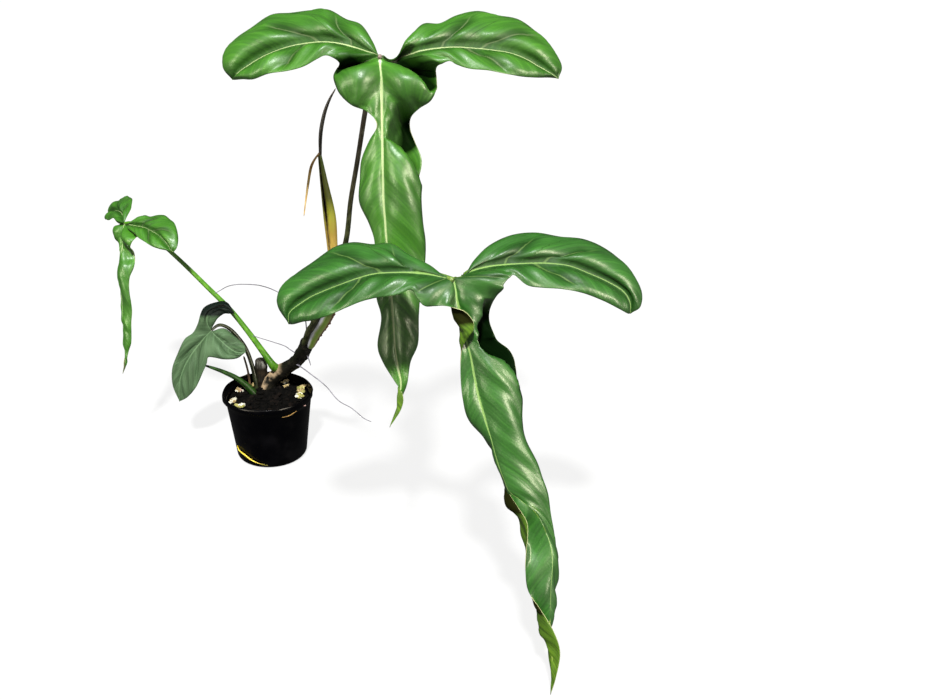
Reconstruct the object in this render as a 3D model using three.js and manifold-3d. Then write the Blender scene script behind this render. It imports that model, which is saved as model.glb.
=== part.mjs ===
// A potted philodendron with T-shaped leaves: a black nursery pot filled with a bark mix, a leaning
// stem, long leaf stalks, two large leaves, two smaller ones, a new leaf in its sheath and aerial roots.
// Millimetres, +Z up, the origin at the middle of the pot's underside, -Y towards the plant's front.
import * as THREE from "three";
import { mergeVertices } from "three/addons/utils/BufferGeometryUtils.js";
import Module from "manifold-3d";

const wasm = await Module();
wasm.setup();

// Driving sizes
const POT_HEIGHT = 84;
const POT_BASE_RADIUS = 42;
const POT_TOP_RADIUS = 51;
const POT_RIM_RADIUS = 54;
const POT_WALL = 1.2;
const POT_CORNER = 7;
const RIM_HEIGHT = 7;
const RIM_LIP = 2.4;
const RIM_BEVEL = 1;
const POT_SIDES = 32;
const POT_RING_HEIGHTS = [30, 54];
const DRAIN_RADIUS = 3.5;
const DRAIN_CIRCLE = 28;
const DRAINS = 6;
const SOIL_TOP = 73;
const SOIL_SHOULDER = 4;
const SOIL_RINGS = [0.95, 0.75, 0.55, 0.35, 0.16];
const SOIL_RELIEF = 1.6;
const SOIL_CHIPS = 15;
const SOIL_CHIP_SIZE = [3.4, 6];
const SOIL_CHIP_REACH = 41;
const SOIL_CHIP_RISE = [-0.5, 1];
const PATCH_CHIP_RISE = [0.8, 2.2];
const CHIP_STRETCH = [[0.8, 1.4], [0.7, 1.2], [0.5, 0.9]];
const GOLDEN_TURN = 2.4;
const GAP = 0.3;
const LEAF_THICKNESS = 0.8;
const LEAF_BELLY = [0, 0, 4];
const JUNCTION_ROOM = 14;
const LEAF_TILT = THREE.MathUtils.degToRad(-25);

// The soft pot's waves out of round at its rim: waves around it, share of the radius, phase
const POT_WAVES = [
  [2, 0.014, 0.7],
  [5, 0.007, 0],
  [9, 0.004, 0],
];

// Leaf forms. Each point is [across, down, out] from the leaf's junction with its stalk, in a plane
// that LEAF_TILT leans back: across to the right, down along the blade, out towards the front.
// A side row is [edge, bend near the vein, bend near the edge] beside the midrib point of the same
// place in the list; the bends lift the blade off the straight line from vein to edge.
// A lobe row is [vein, rear edge, front edge].
const FLAT = [0, 0, 0];
const UPPER_LEAF = {
  midrib: [
    [0, 0, 0], [0, 8, -1], [1, 17, -2], [1, 25, -4], [1, 36, -7], [1, 46, -10], [1, 57, -12],
    [1, 71, -14], [1, 86, -17], [1, 102, -22], [1, 119, -28], [2, 137, -35], [3, 155, -42],
    [4, 176, -50], [6, 199, -58],
    [7, 220, -66], [8, 245, -75], [10, 262, -81], [13, 279, -86], [12, 292, -90], [10, 305, -94],
    [2, 321, -98],
  ],
  right: [
    [[47, 10, -12], [0, 0, -6], [0, 0, -8]],
    [[48, 20, -5], [0, 0, 6], [0, 0, 6]],
    [[48, 27, -2], [0, 0, 10], [0, 0, 10]],
    [[43, 37, -4], [0, 0, 8], [0, 0, 8]],
    [[33, 42, -12], [0, 0, 4], [0, 0, 2]],
    [[25, 48, -22], [0, 0, 2], [0, 0, -3]],
    [[24, 56, -28], [0, 0, 2], [0, 0, -4]],
    [[28, 66, -32], [0, 0, 6], [-1, 0, 0]],
    [[34, 81, -31], [0, 0, 12], [0, 0, 12]],
    [[35, 101, -28], [0, 0, 10], [0, 0, 12]],
    [[34, 118, -32], [0, 0, 7], [0, 0, 9]],
    [[35, 137, -39], [0, 0, 6], [0, 0, 7]],
    [[37, 154, -47], [0, 0, 5], [0, 0, 6]],
    [[36, 174, -56], [0, 0, 5], [0, 0, 5]],
    [[32, 198, -64], [0, 0, 5], [0, 0, 5]],
    [[30, 218, -72], [0, 0, 5], [0, 0, 5]],
    [[29, 243, -80], [0, 0, 5], [0, 0, 5]],
    [[22, 260, -84], [0, 0, 4], [0, 0, 4]],
    [[19, 279, -87], [0, 0, 2], [0, 0, 2]],
    [[15, 290, -93], FLAT, FLAT],
    [[9, 303, -96], FLAT, FLAT],
    [[2, 321, -98], FLAT, FLAT],
  ],
  left: [
    [[-38, 8, -12], [0, 0, -5], [0, 0, -6]],
    [[-40, 16, -5], [0, -1, 8], [0, -1, 8]],
    [[-38, 24, -2], [0, 0, 10], [0, 0, 10]],
    [[-34, 32, -3], [0, 0, 8], [0, 0, 8]],
    [[-25, 40, -7], [0, 0, 5], [0, 0, 5]],
    [[-11, 46, -8], [0, 0, 2], [0, 0, 2]],
    [[-3, 57, -8], [-1, 0, 0], [-1, 0, 0]],
    [[-11, 69, -20], [0, 0, 2], [0, 0, 2]],
    [[-18, 84, -27], [0, 0, 4], [0, 0, 4]],
    [[-20, 100, -34], [0, 0, 5], [0, 0, 5]],
    [[-21, 119, -40], [0, 0, 5], [0, 0, 5]],
    [[-13, 137, -45], [0, 0, 3], [0, 0, 3]],
    [[-8, 154, -48], [-1, 0, 2], [-2, 0, 0]],
    [[-9, 178, -56], [0, 0, 3], [0, 0, 3]],
    [[-8, 201, -66], [0, 0, 3], [0, 0, 3]],
    [[-4, 220, -74], [0, 0, 3], [0, 0, 3]],
    [[-8, 245, -83], [0, 0, 3], [0, 0, 3]],
    [[-3, 261, -87], [0, 0, 3], [0, 0, 3]],
    [[8, 279, -87], [0, 0, 1], [0, 0, 1]],
    [[15, 291, -85], [-3, 0, 0], [-3, 0, 0]],
    [[13, 304, -90], [-2, 0, 0], [-2, 0, 0]],
    [[2, 321, -98], FLAT, FLAT],
  ],
  rightLobe: [
    [[0, 0, 0], [1, 0, 0], null],
    [[10, 0, 0], [14, -4, -2], [47, 10, -8]],
    [[20, -4, -2], [25, -19, -10], [48, 8, -2]],
    [[33, -7, -4], [36, -32, -18], [52, 7, 1]],
    [[47, -10, -6], [50, -34, -24], [59, 5, 3]],
    [[63, -12, -9], [65, -43, -31], [65, 8, 3]],
    [[80, -12, -12], [83, -48, -36], [76, 11, 1]],
    [[96, -11, -15], [101, -45, -39], [92, 12, -1]],
    [[112, -9, -18], [119, -42, -41], [107, 14, -5]],
    [[127, -4, -22], [135, -31, -42], [121, 15, -11]],
    [[139, 2, -27], [149, -16, -42], [134, 14, -19]],
    [[149, 8, -32], [157, -1, -40], [145, 12, -28]],
    [[154, 11, -38], [154, 11, -38], [154, 11, -38]],
  ],
  leftLobe: [
    [[0, 0, 0], [-1, 0, 0], null],
    [[-8, -3, 0], [-6, -12, -4], [-36, 7, -8]],
    [[-19, -8, -2], [-17, -30, -14], [-35, 5, -2]],
    [[-32, -13, -4], [-31, -37, -21], [-39, 2, 1]],
    [[-47, -16, -7], [-47, -47, -28], [-46, 0, 2]],
    [[-62, -16, -10], [-64, -48, -34], [-53, 3, 2]],
    [[-78, -14, -13], [-81, -47, -38], [-65, 9, 0]],
    [[-94, -10, -17], [-99, -46, -41], [-79, 12, -3]],
    [[-109, -4, -21], [-117, -35, -43], [-96, 13, -9]],
    [[-121, 3, -25], [-131, -25, -43], [-110, 16, -16]],
    [[-128, 8, -30], [-140, -11, -42], [-121, 14, -25]],
    [[-130, 10, -34], [-140, 2, -40], [-128, 13, -32]],
    [[-132, 12, -38], [-132, 12, -38], [-132, 12, -38]],
  ],
};
const LOWER_LEAF = {
  midrib: [
    [0, 0, 0], [2, 10, -2], [3, 17, -3], [5, 25, -5], [7, 35, -7], [9, 45, -9], [11, 53, -11],
    [14, 64, -14], [17, 79, -18], [21, 97, -23], [26, 115, -28], [31, 134, -33], [37, 155, -39],
    [42, 169, -42], [47, 180, -45],
    [58, 187, -47], [70, 197, -49], [78, 211, -53], [84, 228, -57], [86, 245, -61], [85, 266, -67],
    [85, 286, -73], [84, 307, -79], [87, 328, -84], [88, 348, -89], [86, 366, -94],
  ],
  right: [
    [[41, 9, 2], [0, 0, 3], [0, 0, 4]],
    [[36, 14, -6], [0, 0, 4], [0, 0, 4]],
    [[33, 19, -13], [0, 0, 6], [0, 0, 6]],
    [[31, 26, -21], [2, 0, 8], [2, 0, 2]],
    [[31, 35, -27], [3, 0, 10], [1, 0, -4]],
    [[34, 44, -31], [2, 0, 12], [-2, 0, -6]],
    [[38, 51, -35], [2, 1, 12], [-5, 2, -6]],
    [[48, 59, -34], [2, 2, 12], [-3, 5, 4]],
    [[55, 73, -30], [0, 2, 12], [0, 4, 14]],
    [[58, 94, -27], [0, 0, 8], [0, 0, 10]],
    [[58, 117, -32], [0, 0, 6], [0, 0, 8]],
    [[61, 134, -37], [0, 0, 5], [0, 0, 6]],
    [[71, 154, -44], [0, 0, 5], [0, 0, 5]],
    [[76, 168, -49], [0, 0, 5], [0, 0, 5]],
    [[81, 182, -54], [0, 0, 5], [0, 0, 5]],
    [[84, 200, -63], [0, 0, 2], [0, 0, 3]],
    [[87, 215, -71], FLAT, FLAT],
    [[89, 228, -77], FLAT, FLAT],
    [[91, 241, -81], [2, 0, 0], [1, 0, 0]],
    [[90, 256, -83], [2, 0, 0], [2, 0, 0]],
    [[87, 273, -87], [3, 0, 0], [4, 0, 0]],
    [[83, 291, -89], [4, 0, 0], [5, 0, 0]],
    [[83, 311, -91], [2, 0, 0], [2, 0, 0]],
    [[84, 331, -92], FLAT, FLAT],
    [[87, 350, -93], FLAT, FLAT],
    [[86, 366, -94], FLAT, FLAT],
  ],
  left: [
    [[-15, 23, 2], [0, 0, 3], [0, 0, 3]],
    [[-7, 23, 6], [0, 0, 2], [-1, 0, 2]],
    [[2, 25, 11], [-4, 2, -2], [-5, 1, -2]],
    [[10, 28, 12], [-6, 2, -4], [-7, 2, -4]],
    [[16, 35, 10], [-6, 0, -4], [-8, 0, -2]],
    [[17, 42, 7], [-6, 0, -4], [-7, 0, -2]],
    [[13, 48, 3], [-5, 0, -4], [-6, 0, -2]],
    [[7, 59, -10], [-1, 0, -2], [-2, 0, -2]],
    [[6, 79, -20], FLAT, FLAT],
    [[8, 100, -27], [0, 0, 2], [0, 0, 2]],
    [[13, 118, -36], [0, 0, 2], [0, 0, 2]],
    [[28, 136, -51], [0, 0, 2], [0, 0, 2]],
    [[40, 156, -65], [-2, 0, 0], FLAT],
    [[46, 170, -65], [-2, 0, 0], [-3, 0, 0]],
    [[47, 180, -51], [-3, 0, -6], [-3, 0, -8]],
    [[54, 191, -40], [-7, 3, -6], [-10, 3, -9]],
    [[62, 204, -39], [-7, 3, -8], [-12, 0, -10]],
    [[63, 218, -43], [-7, 0, -8], [-10, 0, -10]],
    [[62, 233, -51], [-5, 0, -6], [-5, 0, -8]],
    [[62, 251, -61], [-2, 0, 0], [-2, 0, 0]],
    [[65, 269, -67], [0, 0, 2], [0, 0, 2]],
    [[75, 284, -68], [-3, 3, -4], [-6, 5, -8]],
    [[87, 304, -69], [-5, 2, -6], [-10, 2, -8]],
    [[93, 324, -75], [-3, 0, -4], [-7, 0, -6]],
    [[90, 348, -84], [-2, 0, -2], [-2, 0, -2]],
    [[86, 366, -94], FLAT, FLAT],
  ],
  rightLobe: [
    [[0, 0, 0], [1, 0, 0], null],
    [[8, -3, 0], [9, -4, -2], [41, 6, 4]],
    [[17, -7, -2], [18, -16, -10], [43, 3, 4]],
    [[29, -11, -4], [30, -28, -18], [46, 0, 4]],
    [[43, -13, -7], [48, -37, -25], [50, -2, 3]],
    [[62, -14, -10], [69, -40, -32], [60, 6, 4]],
    [[79, -14, -13], [90, -37, -37], [72, 8, 1]],
    [[97, -12, -16], [111, -35, -40], [89, 9, -2]],
    [[114, -6, -20], [131, -26, -42], [107, 12, -8]],
    [[130, 1, -24], [149, -10, -42], [124, 18, -14]],
    [[143, 9, -28], [159, 8, -40], [137, 24, -20]],
    [[149, 18, -33], [158, 22, -38], [146, 28, -29]],
    [[150, 28, -40], [150, 28, -40], [150, 28, -40]],
  ],
  leftLobe: [
    [[0, 0, 0], [-1, 0, 0], null],
    [[-9, -1, 0], [-9, -4, -2], [-23, 23, 5]],
    [[-21, -4, -2], [-19, -11, -10], [-29, 17, 5]],
    [[-35, -6, -4], [-36, -20, -18], [-34, 10, 5]],
    [[-50, -6, -6], [-52, -30, -24], [-46, 14, 5]],
    [[-66, -5, -9], [-68, -30, -29], [-61, 16, 3]],
    [[-79, -2, -12], [-85, -32, -34], [-74, 19, 0]],
    [[-91, 2, -15], [-101, -28, -37], [-87, 24, -3]],
    [[-107, 8, -20], [-119, -16, -40], [-102, 30, -10]],
    [[-121, 14, -24], [-135, -5, -42], [-116, 34, -16]],
    [[-132, 21, -28], [-147, 7, -42], [-125, 35, -22]],
    [[-139, 28, -32], [-149, 21, -40], [-134, 37, -29]],
    [[-139, 37, -36], [-139, 37, -36], [-139, 37, -36]],
  ],
};
const YOUNG_LEAF = {
  midrib: [[0, 0, 0], [-10, 10, -2], [-22, 24, -6], [-34, 42, -12], [-42, 62, -20], [-44, 84, -30]],
  right: [
    [[-3, 31, 2], [0, 0, 3], [0, 0, 3]],
    [[-5, 38, 0], [0, 0, 4], [0, 0, 4]],
    [[-11, 50, -4], [0, 0, 4], [0, 0, 4]],
    [[-20, 66, -12], [0, 0, 3], [0, 0, 3]],
    [[-32, 78, -22], [0, 0, 1], [0, 0, 1]],
    [[-44, 84, -30], FLAT, FLAT],
  ],
  left: [
    [[-22, 2, -4], [0, 0, 2], [0, 0, 2]],
    [[-33, 10, -8], [0, 0, 3], [0, 0, 3]],
    [[-42, 26, -14], [0, 0, 3], [0, 0, 3]],
    [[-50, 44, -20], [0, 0, 3], [0, 0, 3]],
    [[-51, 64, -26], [0, 0, 1], [0, 0, 1]],
    [[-44, 84, -30], FLAT, FLAT],
  ],
  rightLobe: [
    [[0, 0, 0], [1, 0, 0], null],
    [[8, 8, 2], [15, -3, -4], [4, 31, 2]],
    [[20, 18, 4], [28, 7, -6], [16, 33, 4]],
    [[32, 25, 4], [39, 17, -3], [31, 32, 3]],
    [[41, 25, 2], [41, 25, 2], [41, 25, 2]],
  ],
  leftLobe: [
    [[0, 0, 0], [0, -1, 0], null],
    [[-4, -10, 6], [4, -8, 2], [-16, -8, -2]],
    [[0, -22, 12], [9, -15, 5], [-8, -27, 2]],
    [[12, -28, 14], [18, -21, 8], [9, -34, 6]],
    [[28, -21, 12], [28, -21, 12], [28, -21, 12]],
  ],
};

// Where each leaf's junction stands, its size against its table, its turn about the upright in
// degrees, how far behind it its stalk ends, and how finely it is meshed: steps to each row of the
// table and columns from vein to edge
const LEAVES = [
  {
    name: "leaf_1",
    form: UPPER_LEAF,
    at: [162.7, -254.1, 530.3],
    scale: 1,
    turn: 0,
    setback: 2.3,
    mesh: [2, 4],
    colour: 0x3d7a36,
  },
  {
    name: "leaf_2",
    form: LOWER_LEAF,
    at: [225, -370.9, 374.6],
    scale: 1,
    turn: 0,
    setback: 1.2,
    mesh: [2, 4],
    colour: 0x3f7f38,
  },
  {
    name: "leaf_3",
    form: UPPER_LEAF,
    at: [-156, 33, 281],
    scale: 0.55,
    turn: -50,
    setback: 1.6,
    mesh: [1, 3],
    colour: 0x3a7434,
  },
  {
    name: "leaf_4",
    form: YOUNG_LEAF,
    at: [-63.9, 12.5, 155.6],
    scale: 1,
    turn: 0,
    setback: 1.2,
    mesh: [2, 3],
    colour: 0x5f7f78,
  },
];
const LEAF_ROUGHNESS = 0.4;

// Stems, stalks and roots in the order in which each is cut clear of the ones before it: route points
// from the foot up, a radius at each point, and how flat the section is
const STEMS = [
  {
    name: "main_stem",
    route: [[-5, 33, 52], [-2, 36, 72], [6, 35, 85], [18, 24, 99], [33, 8, 117], [46, -12, 139],
      [55, -32, 161], [58, -41, 171]],
    radii: [8, 8.5, 8, 8.2, 7.4, 8, 7.6, 5],
    sides: 14,
    colour: 0x3a3326,
    roughness: 0.6,
  },
  {
    name: "old_stem_stub",
    route: [[-13, 32, 58], [-14, 35, 75], [-13, 37, 90], [-13, 38, 107]],
    radii: [7.6, 7.6, 7.4, 7],
    sides: 12,
    colour: 0x2e2a26,
    roughness: 0.8,
  },
  {
    name: "petiole_1",
    route: [[52, -34, 160], [61, -57, 186], [68, -76, 201], [75, -97, 219], [93, -126, 259],
      [115, -150, 322], [125, -174, 377], [135, -196, 423], [146, -221, 476], [153, -235, 504],
      [160, -248, 523], [163, -256, 531]],
    radii: [4, 4.2, 4.2, 4, 3.4, 2.7, 2.4, 2.3, 2.3, 2.3, 2.4, 2.2],
    sides: 8,
    colour: 0x4a3432,
    roughness: 0.45,
  },
  {
    name: "petiole_2",
    route: [[59, -38, 160], [70, -63, 188], [81.5, -92, 213], [90, -112, 231], [105, -151, 267],
      [121, -205, 304], [141, -268, 339], [166, -313, 361], [195, -346, 372], [215, -363, 373],
      [225, -373, 374]],
    radii: [4.2, 5.8, 6.3, 5.4, 3.6, 2.9, 2.7, 2.6, 2.5, 2.5, 2.2],
    sides: 8,
    colour: 0x6f8f45,
    roughness: 0.45,
  },
  {
    name: "cataphyll",
    route: [[84, -86, 212], [96, -108, 240], [98.5, -113, 271], [98, -113, 307], [96.8, -114, 340],
      [93, -117, 379], [90.5, -120, 408]],
    radii: [3.4, 4, 4.4, 5.2, 6, 3.6, 1.6],
    flat: 0.7,
    sides: 12,
    colour: 0x8f8f3c,
    roughness: 0.55,
  },
  {
    name: "new_leaf",
    route: [[91, -119, 402], [93, -123, 427], [97.5, -125, 447], [103.5, -127, 462], [110.5, -129, 474]],
    radii: [1.4, 1.9, 1.8, 1.3, 0.5],
    sides: 8,
    colour: 0x3b2a20,
    roughness: 0.5,
  },
  {
    name: "dried_strand",
    route: [[90.5, -121.5, 408], [86, -131, 403], [83, -136, 396], [80, -139, 381], [77, -139, 365],
      [74, -138, 348]],
    radii: [1, 1.3, 1.5, 1.3, 0.9, 0.5],
    flat: 0.5,
    sides: 6,
    colour: 0xb08a4c,
    roughness: 0.8,
  },
  {
    name: "petiole_3",
    route: [[7, 27, 94], [4.5, 20, 103], [-1, 18, 117], [-23, 23, 151], [-43, 28, 177],
      [-64.5, 33, 199], [-96, 37, 233], [-129, 41, 265], [-148, 39, 279], [-156, 34, 281.5]],
    radii: [5.4, 5.2, 4, 3.2, 3, 2.8, 2.5, 2.2, 2, 1.6],
    sides: 8,
    colour: 0x5fae28,
    roughness: 0.4,
  },
  {
    name: "petiole_4",
    route: [[-18, 23, 58], [-18.5, 24.5, 82], [-22, 27, 105], [-28, 28, 126], [-36, 26, 142], [-45, 24, 154],
      [-55, 20, 160], [-63.6, 13.2, 156.6]],
    radii: [2.8, 2.7, 2.6, 2.5, 2.3, 2.1, 1.9, 1.5],
    sides: 8,
    colour: 0x33291f,
    roughness: 0.5,
  },
  {
    name: "young_shoot",
    route: [[-17, 14, 55], [-19, 14, 70], [-26, 14, 81], [-33, 13, 89], [-42, 11, 97], [-55, 9, 105],
      [-67, 7, 111], [-78, 7, 115]],
    radii: [4.4, 4.4, 4, 3.4, 3, 2.4, 1.7, 0.5],
    sides: 8,
    colour: 0x2f4a24,
    roughness: 0.45,
  },
  {
    name: "old_petiole",
    route: [[-25, 20, 60], [-25, 20.5, 80], [-26, 20, 100], [-29, 18, 120]],
    radii: [1.6, 1.5, 1.3, 1.1],
    sides: 8,
    colour: 0x3a3122,
    roughness: 0.7,
  },
  {
    name: "aerial_root_1",
    route: [[-51, -6, 211], [-30, -11, 223], [0, -25, 229], [23, -41, 229], [42, -54, 222], [56, -56, 206],
      [57, -45, 176]],
    radii: [0.5, 0.6, 0.7, 0.7, 0.8, 0.9, 0.9],
    sides: 6,
    colour: 0x6e6a66,
    roughness: 0.7,
  },
  {
    name: "aerial_root_2",
    route: [[-12, -8, 159], [8, -6, 151], [24, -6, 145], [32, -6, 139], [42, -10, 134]],
    radii: [0.5, 0.6, 0.7, 0.8, 0.9],
    sides: 6,
    colour: 0x6e6a66,
    roughness: 0.7,
  },
  {
    name: "aerial_root_3",
    route: [[28, 6, 114], [37, -4, 120], [56, -23, 116], [74, -37, 108], [89, -53, 98], [105, -61, 92],
      [119, -70, 84], [128, -73, 81]],
    radii: [1, 1, 0.8, 0.7, 0.7, 0.6, 0.6, 0.5],
    sides: 6,
    colour: 0x6e6a66,
    roughness: 0.7,
  },
  {
    name: "aerial_root_4",
    route: [[47, -14, 141], [52, -23, 142], [55, -31, 140], [58, -38, 135]],
    radii: [1.2, 1.1, 0.9, 0.6],
    sides: 6,
    colour: 0x8a6a50,
    roughness: 0.7,
  },
];

// Patches of chips on the mix: middle, reach across and along, number and size of chips
const PATCHES = [
  {
    name: "perlite_chips",
    seed: 5,
    centre: [-34, -6],
    spread: [8, 13],
    count: 11,
    size: 5.2,
    colour: 0xd8d2b4,
    roughness: 0.9,
  },
];
const SOIL_SEED = 31;
const SOIL_LOOK = { colour: 0x1f1a15, roughness: 0.95 };
const POT_LOOK = { colour: 0x0c0c0e, roughness: 0.3 };

// Seeded draw from 0 to 1, so that the mix looks the same each time
function seeded(seed) {
  let state = seed;
  return () => {
    state = (state * 1664525 + 1013904223) % 4294967296;
    return state / 4294967296;
  };
}

// A closed geometry as a solid that faces out
function solidOf(geometry) {
  const bare = geometry.clone();
  bare.deleteAttribute("normal");
  bare.deleteAttribute("uv");
  const merged = mergeVertices(bare, 1e-4);
  const corners = Array.from(merged.index.array);
  const kept = [];
  for (let i = 0; i < corners.length; i += 3) {
    const [a, b, c] = corners.slice(i, i + 3);
    if (a !== b && b !== c && c !== a) kept.push(a, b, c);
  }
  const build = (triVerts) =>
    new wasm.Manifold(
      new wasm.Mesh({
        numProp: 3,
        vertProperties: new Float32Array(merged.attributes.position.array),
        triVerts: new Uint32Array(triVerts),
      }),
    );
  const solid = build(kept);
  return solid.volume() < 0 ? build(kept.reverse()) : solid;
}

function geometryOf(solid) {
  const mesh = solid.getMesh();
  const points = new Float32Array(mesh.vertProperties.length / mesh.numProp * 3);
  for (let i = 0; i < points.length / 3; i++) {
    points.set(mesh.vertProperties.subarray(i * mesh.numProp, i * mesh.numProp + 3), i * 3);
  }
  const geometry = new THREE.BufferGeometry();
  geometry.setAttribute("position", new THREE.BufferAttribute(points, 3));
  geometry.setIndex(new THREE.BufferAttribute(mesh.triVerts, 1));
  geometry.computeVertexNormals();
  return geometry;
}

// The biggest body of a solid, without the scraps that a cut leaves
function biggestBody(solid) {
  return solid.decompose().reduce((best, body) => (body.volume() > best.volume() ? body : best));
}

// A tube along a smooth route, with its own radius at each route point and a closed end on each side
function stemGeometry({ route, radii, sides, flat = 1 }, extra = 0, spanSteps = 2) {
  const curve = new THREE.CatmullRomCurve3(route.map((p) => new THREE.Vector3(...p)));
  const steps = (route.length - 1) * spanSteps;
  const points = [];
  const triangles = [];
  let across = new THREE.Vector3(1, 0, 0);
  for (let i = 0; i <= steps; i++) {
    const t = i / steps;
    const centre = curve.getPoint(t);
    const along = curve.getTangent(t);
    across = across.clone().addScaledVector(along, -across.dot(along)).normalize();
    const beside = new THREE.Vector3().crossVectors(along, across);
    const place = t * (radii.length - 1);
    const low = Math.min(Math.floor(place), radii.length - 2);
    const radius = THREE.MathUtils.lerp(radii[low], radii[low + 1], place - low) + extra;
    for (let j = 0; j < sides; j++) {
      const angle = (2 * Math.PI * j) / sides;
      const point = centre
        .clone()
        .addScaledVector(across, radius * Math.cos(angle))
        .addScaledVector(beside, radius * flat * Math.sin(angle));
      points.push(point.x, point.y, point.z);
      if (i < steps) {
        const a = i * sides + j;
        const b = i * sides + ((j + 1) % sides);
        triangles.push(a, b, b + sides, a, b + sides, a + sides);
      }
    }
  }
  const foot = points.length / 3;
  points.push(...route[0], ...route.at(-1));
  for (let j = 0; j < sides; j++) {
    const next = (j + 1) % sides;
    triangles.push(foot, next, j, foot + 1, steps * sides + j, steps * sides + next);
  }
  const geometry = new THREE.BufferGeometry();
  geometry.setAttribute("position", new THREE.Float32BufferAttribute(points, 3));
  geometry.setIndex(triangles);
  return geometry;
}

// Points between the given ones on a smooth line, steps to each span
function smoothRow(list, steps) {
  const before = list[0].clone().multiplyScalar(2).sub(list[1]);
  const after = list.at(-1).clone().multiplyScalar(2).sub(list.at(-2));
  const all = [before, ...list, after];
  const row = [];
  for (let i = 0; i < list.length - 1; i++) {
    const [a, b, c, d] = all.slice(i, i + 4);
    for (let k = 0; k < steps; k++) {
      const t = k / steps;
      const weights = [
        -t + 2 * t * t - t ** 3,
        2 - 5 * t * t + 3 * t ** 3,
        t + 4 * t * t - 3 * t ** 3,
        -t * t + t ** 3,
      ];
      const point = new THREE.Vector3();
      [a, b, c, d].forEach((p, n) => point.addScaledVector(p, weights[n] / 2));
      row.push(point);
    }
  }
  row.push(list.at(-1).clone());
  return row;
}

// One panel of the blade: rows run from the vein to the edge along a cubic through two bent points
function panel(vein, edge, nearVein, nearEdge, steps, columns) {
  const lines = [vein, smoothRow(nearVein, steps), smoothRow(nearEdge, steps), smoothRow(edge, steps)];
  return lines[0].map((_, i) =>
    Array.from({ length: columns + 1 }, (_unused, j) => {
      const s = j / columns;
      const weights = [
        (1 - s) * (1 - 1.5 * s) * (1 - 3 * s),
        9 * s * (1 - s) * (1 - 1.5 * s),
        4.5 * s * (1 - s) * (3 * s - 1),
        s * (1.5 * s - 1) * (3 * s - 1),
      ];
      const point = new THREE.Vector3();
      lines.forEach((line, n) => point.addScaledVector(line[i], weights[n]));
      return point;
    }),
  );
}

// The four panels of a leaf: a rear and a front one on each side of it
function leafPanels(form, steps, columns) {
  const vector = ([x, down, out]) => new THREE.Vector3(x, -out, -down);
  const panels = [];
  for (const [side, lobe, turned] of [
    [form.right, form.rightLobe, true],
    [form.left, form.leftLobe, false],
  ]) {
    const midrib = form.midrib.map(vector);
    const veins = lobe.map((row) => vector(row[0]));
    const bent = (from, to, share, bend) => from.clone().lerp(to, share).add(vector(bend));
    const bellyAt = (i) => (i === 0 || i === lobe.length - 1 ? FLAT : LEAF_BELLY);
    const rear = lobe.map((row) => vector(row[1]));
    const rearNear = rear.map((edge, i) => bent(veins[i], edge, 1 / 3, bellyAt(i)));
    const rearFar = rear.map((edge, i) => bent(veins[i], edge, 2 / 3, bellyAt(i)));
    const lobeVein = smoothRow(veins, steps);
    panels.push({ grid: panel(lobeVein, rear, rearNear, rearFar, steps, columns), turned });
    const last = lobe.length - 1;
    const front = [];
    for (let i = last; i > 0; i--) {
      const edge = vector(lobe[i][2]);
      front.push([edge, bent(veins[i], edge, 1 / 3, bellyAt(i)), bent(veins[i], edge, 2 / 3, bellyAt(i))]);
    }
    side.forEach(([edgePoint, nearVein, nearEdge], i) => {
      const edge = vector(edgePoint);
      front.push([edge, bent(midrib[i], edge, 1 / 3, nearVein), bent(midrib[i], edge, 2 / 3, nearEdge)]);
    });
    const vein = [...lobeVein.slice(1).reverse(), ...smoothRow(midrib, steps)];
    const column = (k) => front.map((row) => row[k]);
    panels.push({ grid: panel(vein, column(0), column(1), column(2), steps, columns), turned });
  }
  return panels;
}

// A blade as a thin closed sheet: the same triangles on both faces and a wall around the edge
function leafGeometry({ form, scale, mesh: [steps, columns] }) {
  const points = [];
  const triangles = [];
  const found = new Map();
  const indexOf = (point) => {
    const key = [point.x, point.y, point.z].map((v) => Math.round(v * 1000)).join(" ");
    if (!found.has(key)) {
      found.set(key, points.length);
      points.push(point.clone().multiplyScalar(scale));
    }
    return found.get(key);
  };
  for (const { grid, turned } of leafPanels(form, steps, columns)) {
    for (let i = 0; i + 1 < grid.length; i++) {
      for (let j = 0; j < columns; j++) {
        const [a, b, c, d] = [grid[i][j], grid[i][j + 1], grid[i + 1][j + 1], grid[i + 1][j]].map(indexOf);
        for (const corners of [[a, b, c], [a, c, d]]) {
          if (new Set(corners).size === 3) triangles.push(turned ? corners.reverse() : corners);
        }
      }
    }
  }
  const normals = points.map(() => new THREE.Vector3());
  const edges = new Map();
  for (const [a, b, c] of triangles) {
    const first = points[b].clone().sub(points[a]);
    const normal = first.cross(points[c].clone().sub(points[a]));
    for (const corner of [a, b, c]) normals[corner].add(normal);
    for (const [from, to] of [[a, b], [b, c], [c, a]]) {
      const twin = `${to} ${from}`;
      if (edges.has(twin)) edges.delete(twin);
      else edges.set(`${from} ${to}`, [from, to]);
    }
  }
  const count = points.length;
  const both = [1, -1].flatMap((face) =>
    points.flatMap((point, i) => {
      const away = normals[i].clone().normalize().multiplyScalar((face * LEAF_THICKNESS) / 2);
      return point.clone().add(away).toArray();
    }),
  );
  const faces = triangles.flatMap(([a, b, c]) => [a, b, c, c + count, b + count, a + count]);
  for (const [from, to] of edges.values()) {
    faces.push(from, from + count, to + count, from, to + count, to);
  }
  const geometry = new THREE.BufferGeometry();
  geometry.setAttribute("position", new THREE.Float32BufferAttribute(both, 3));
  geometry.setIndex(faces);
  return geometry;
}

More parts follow.
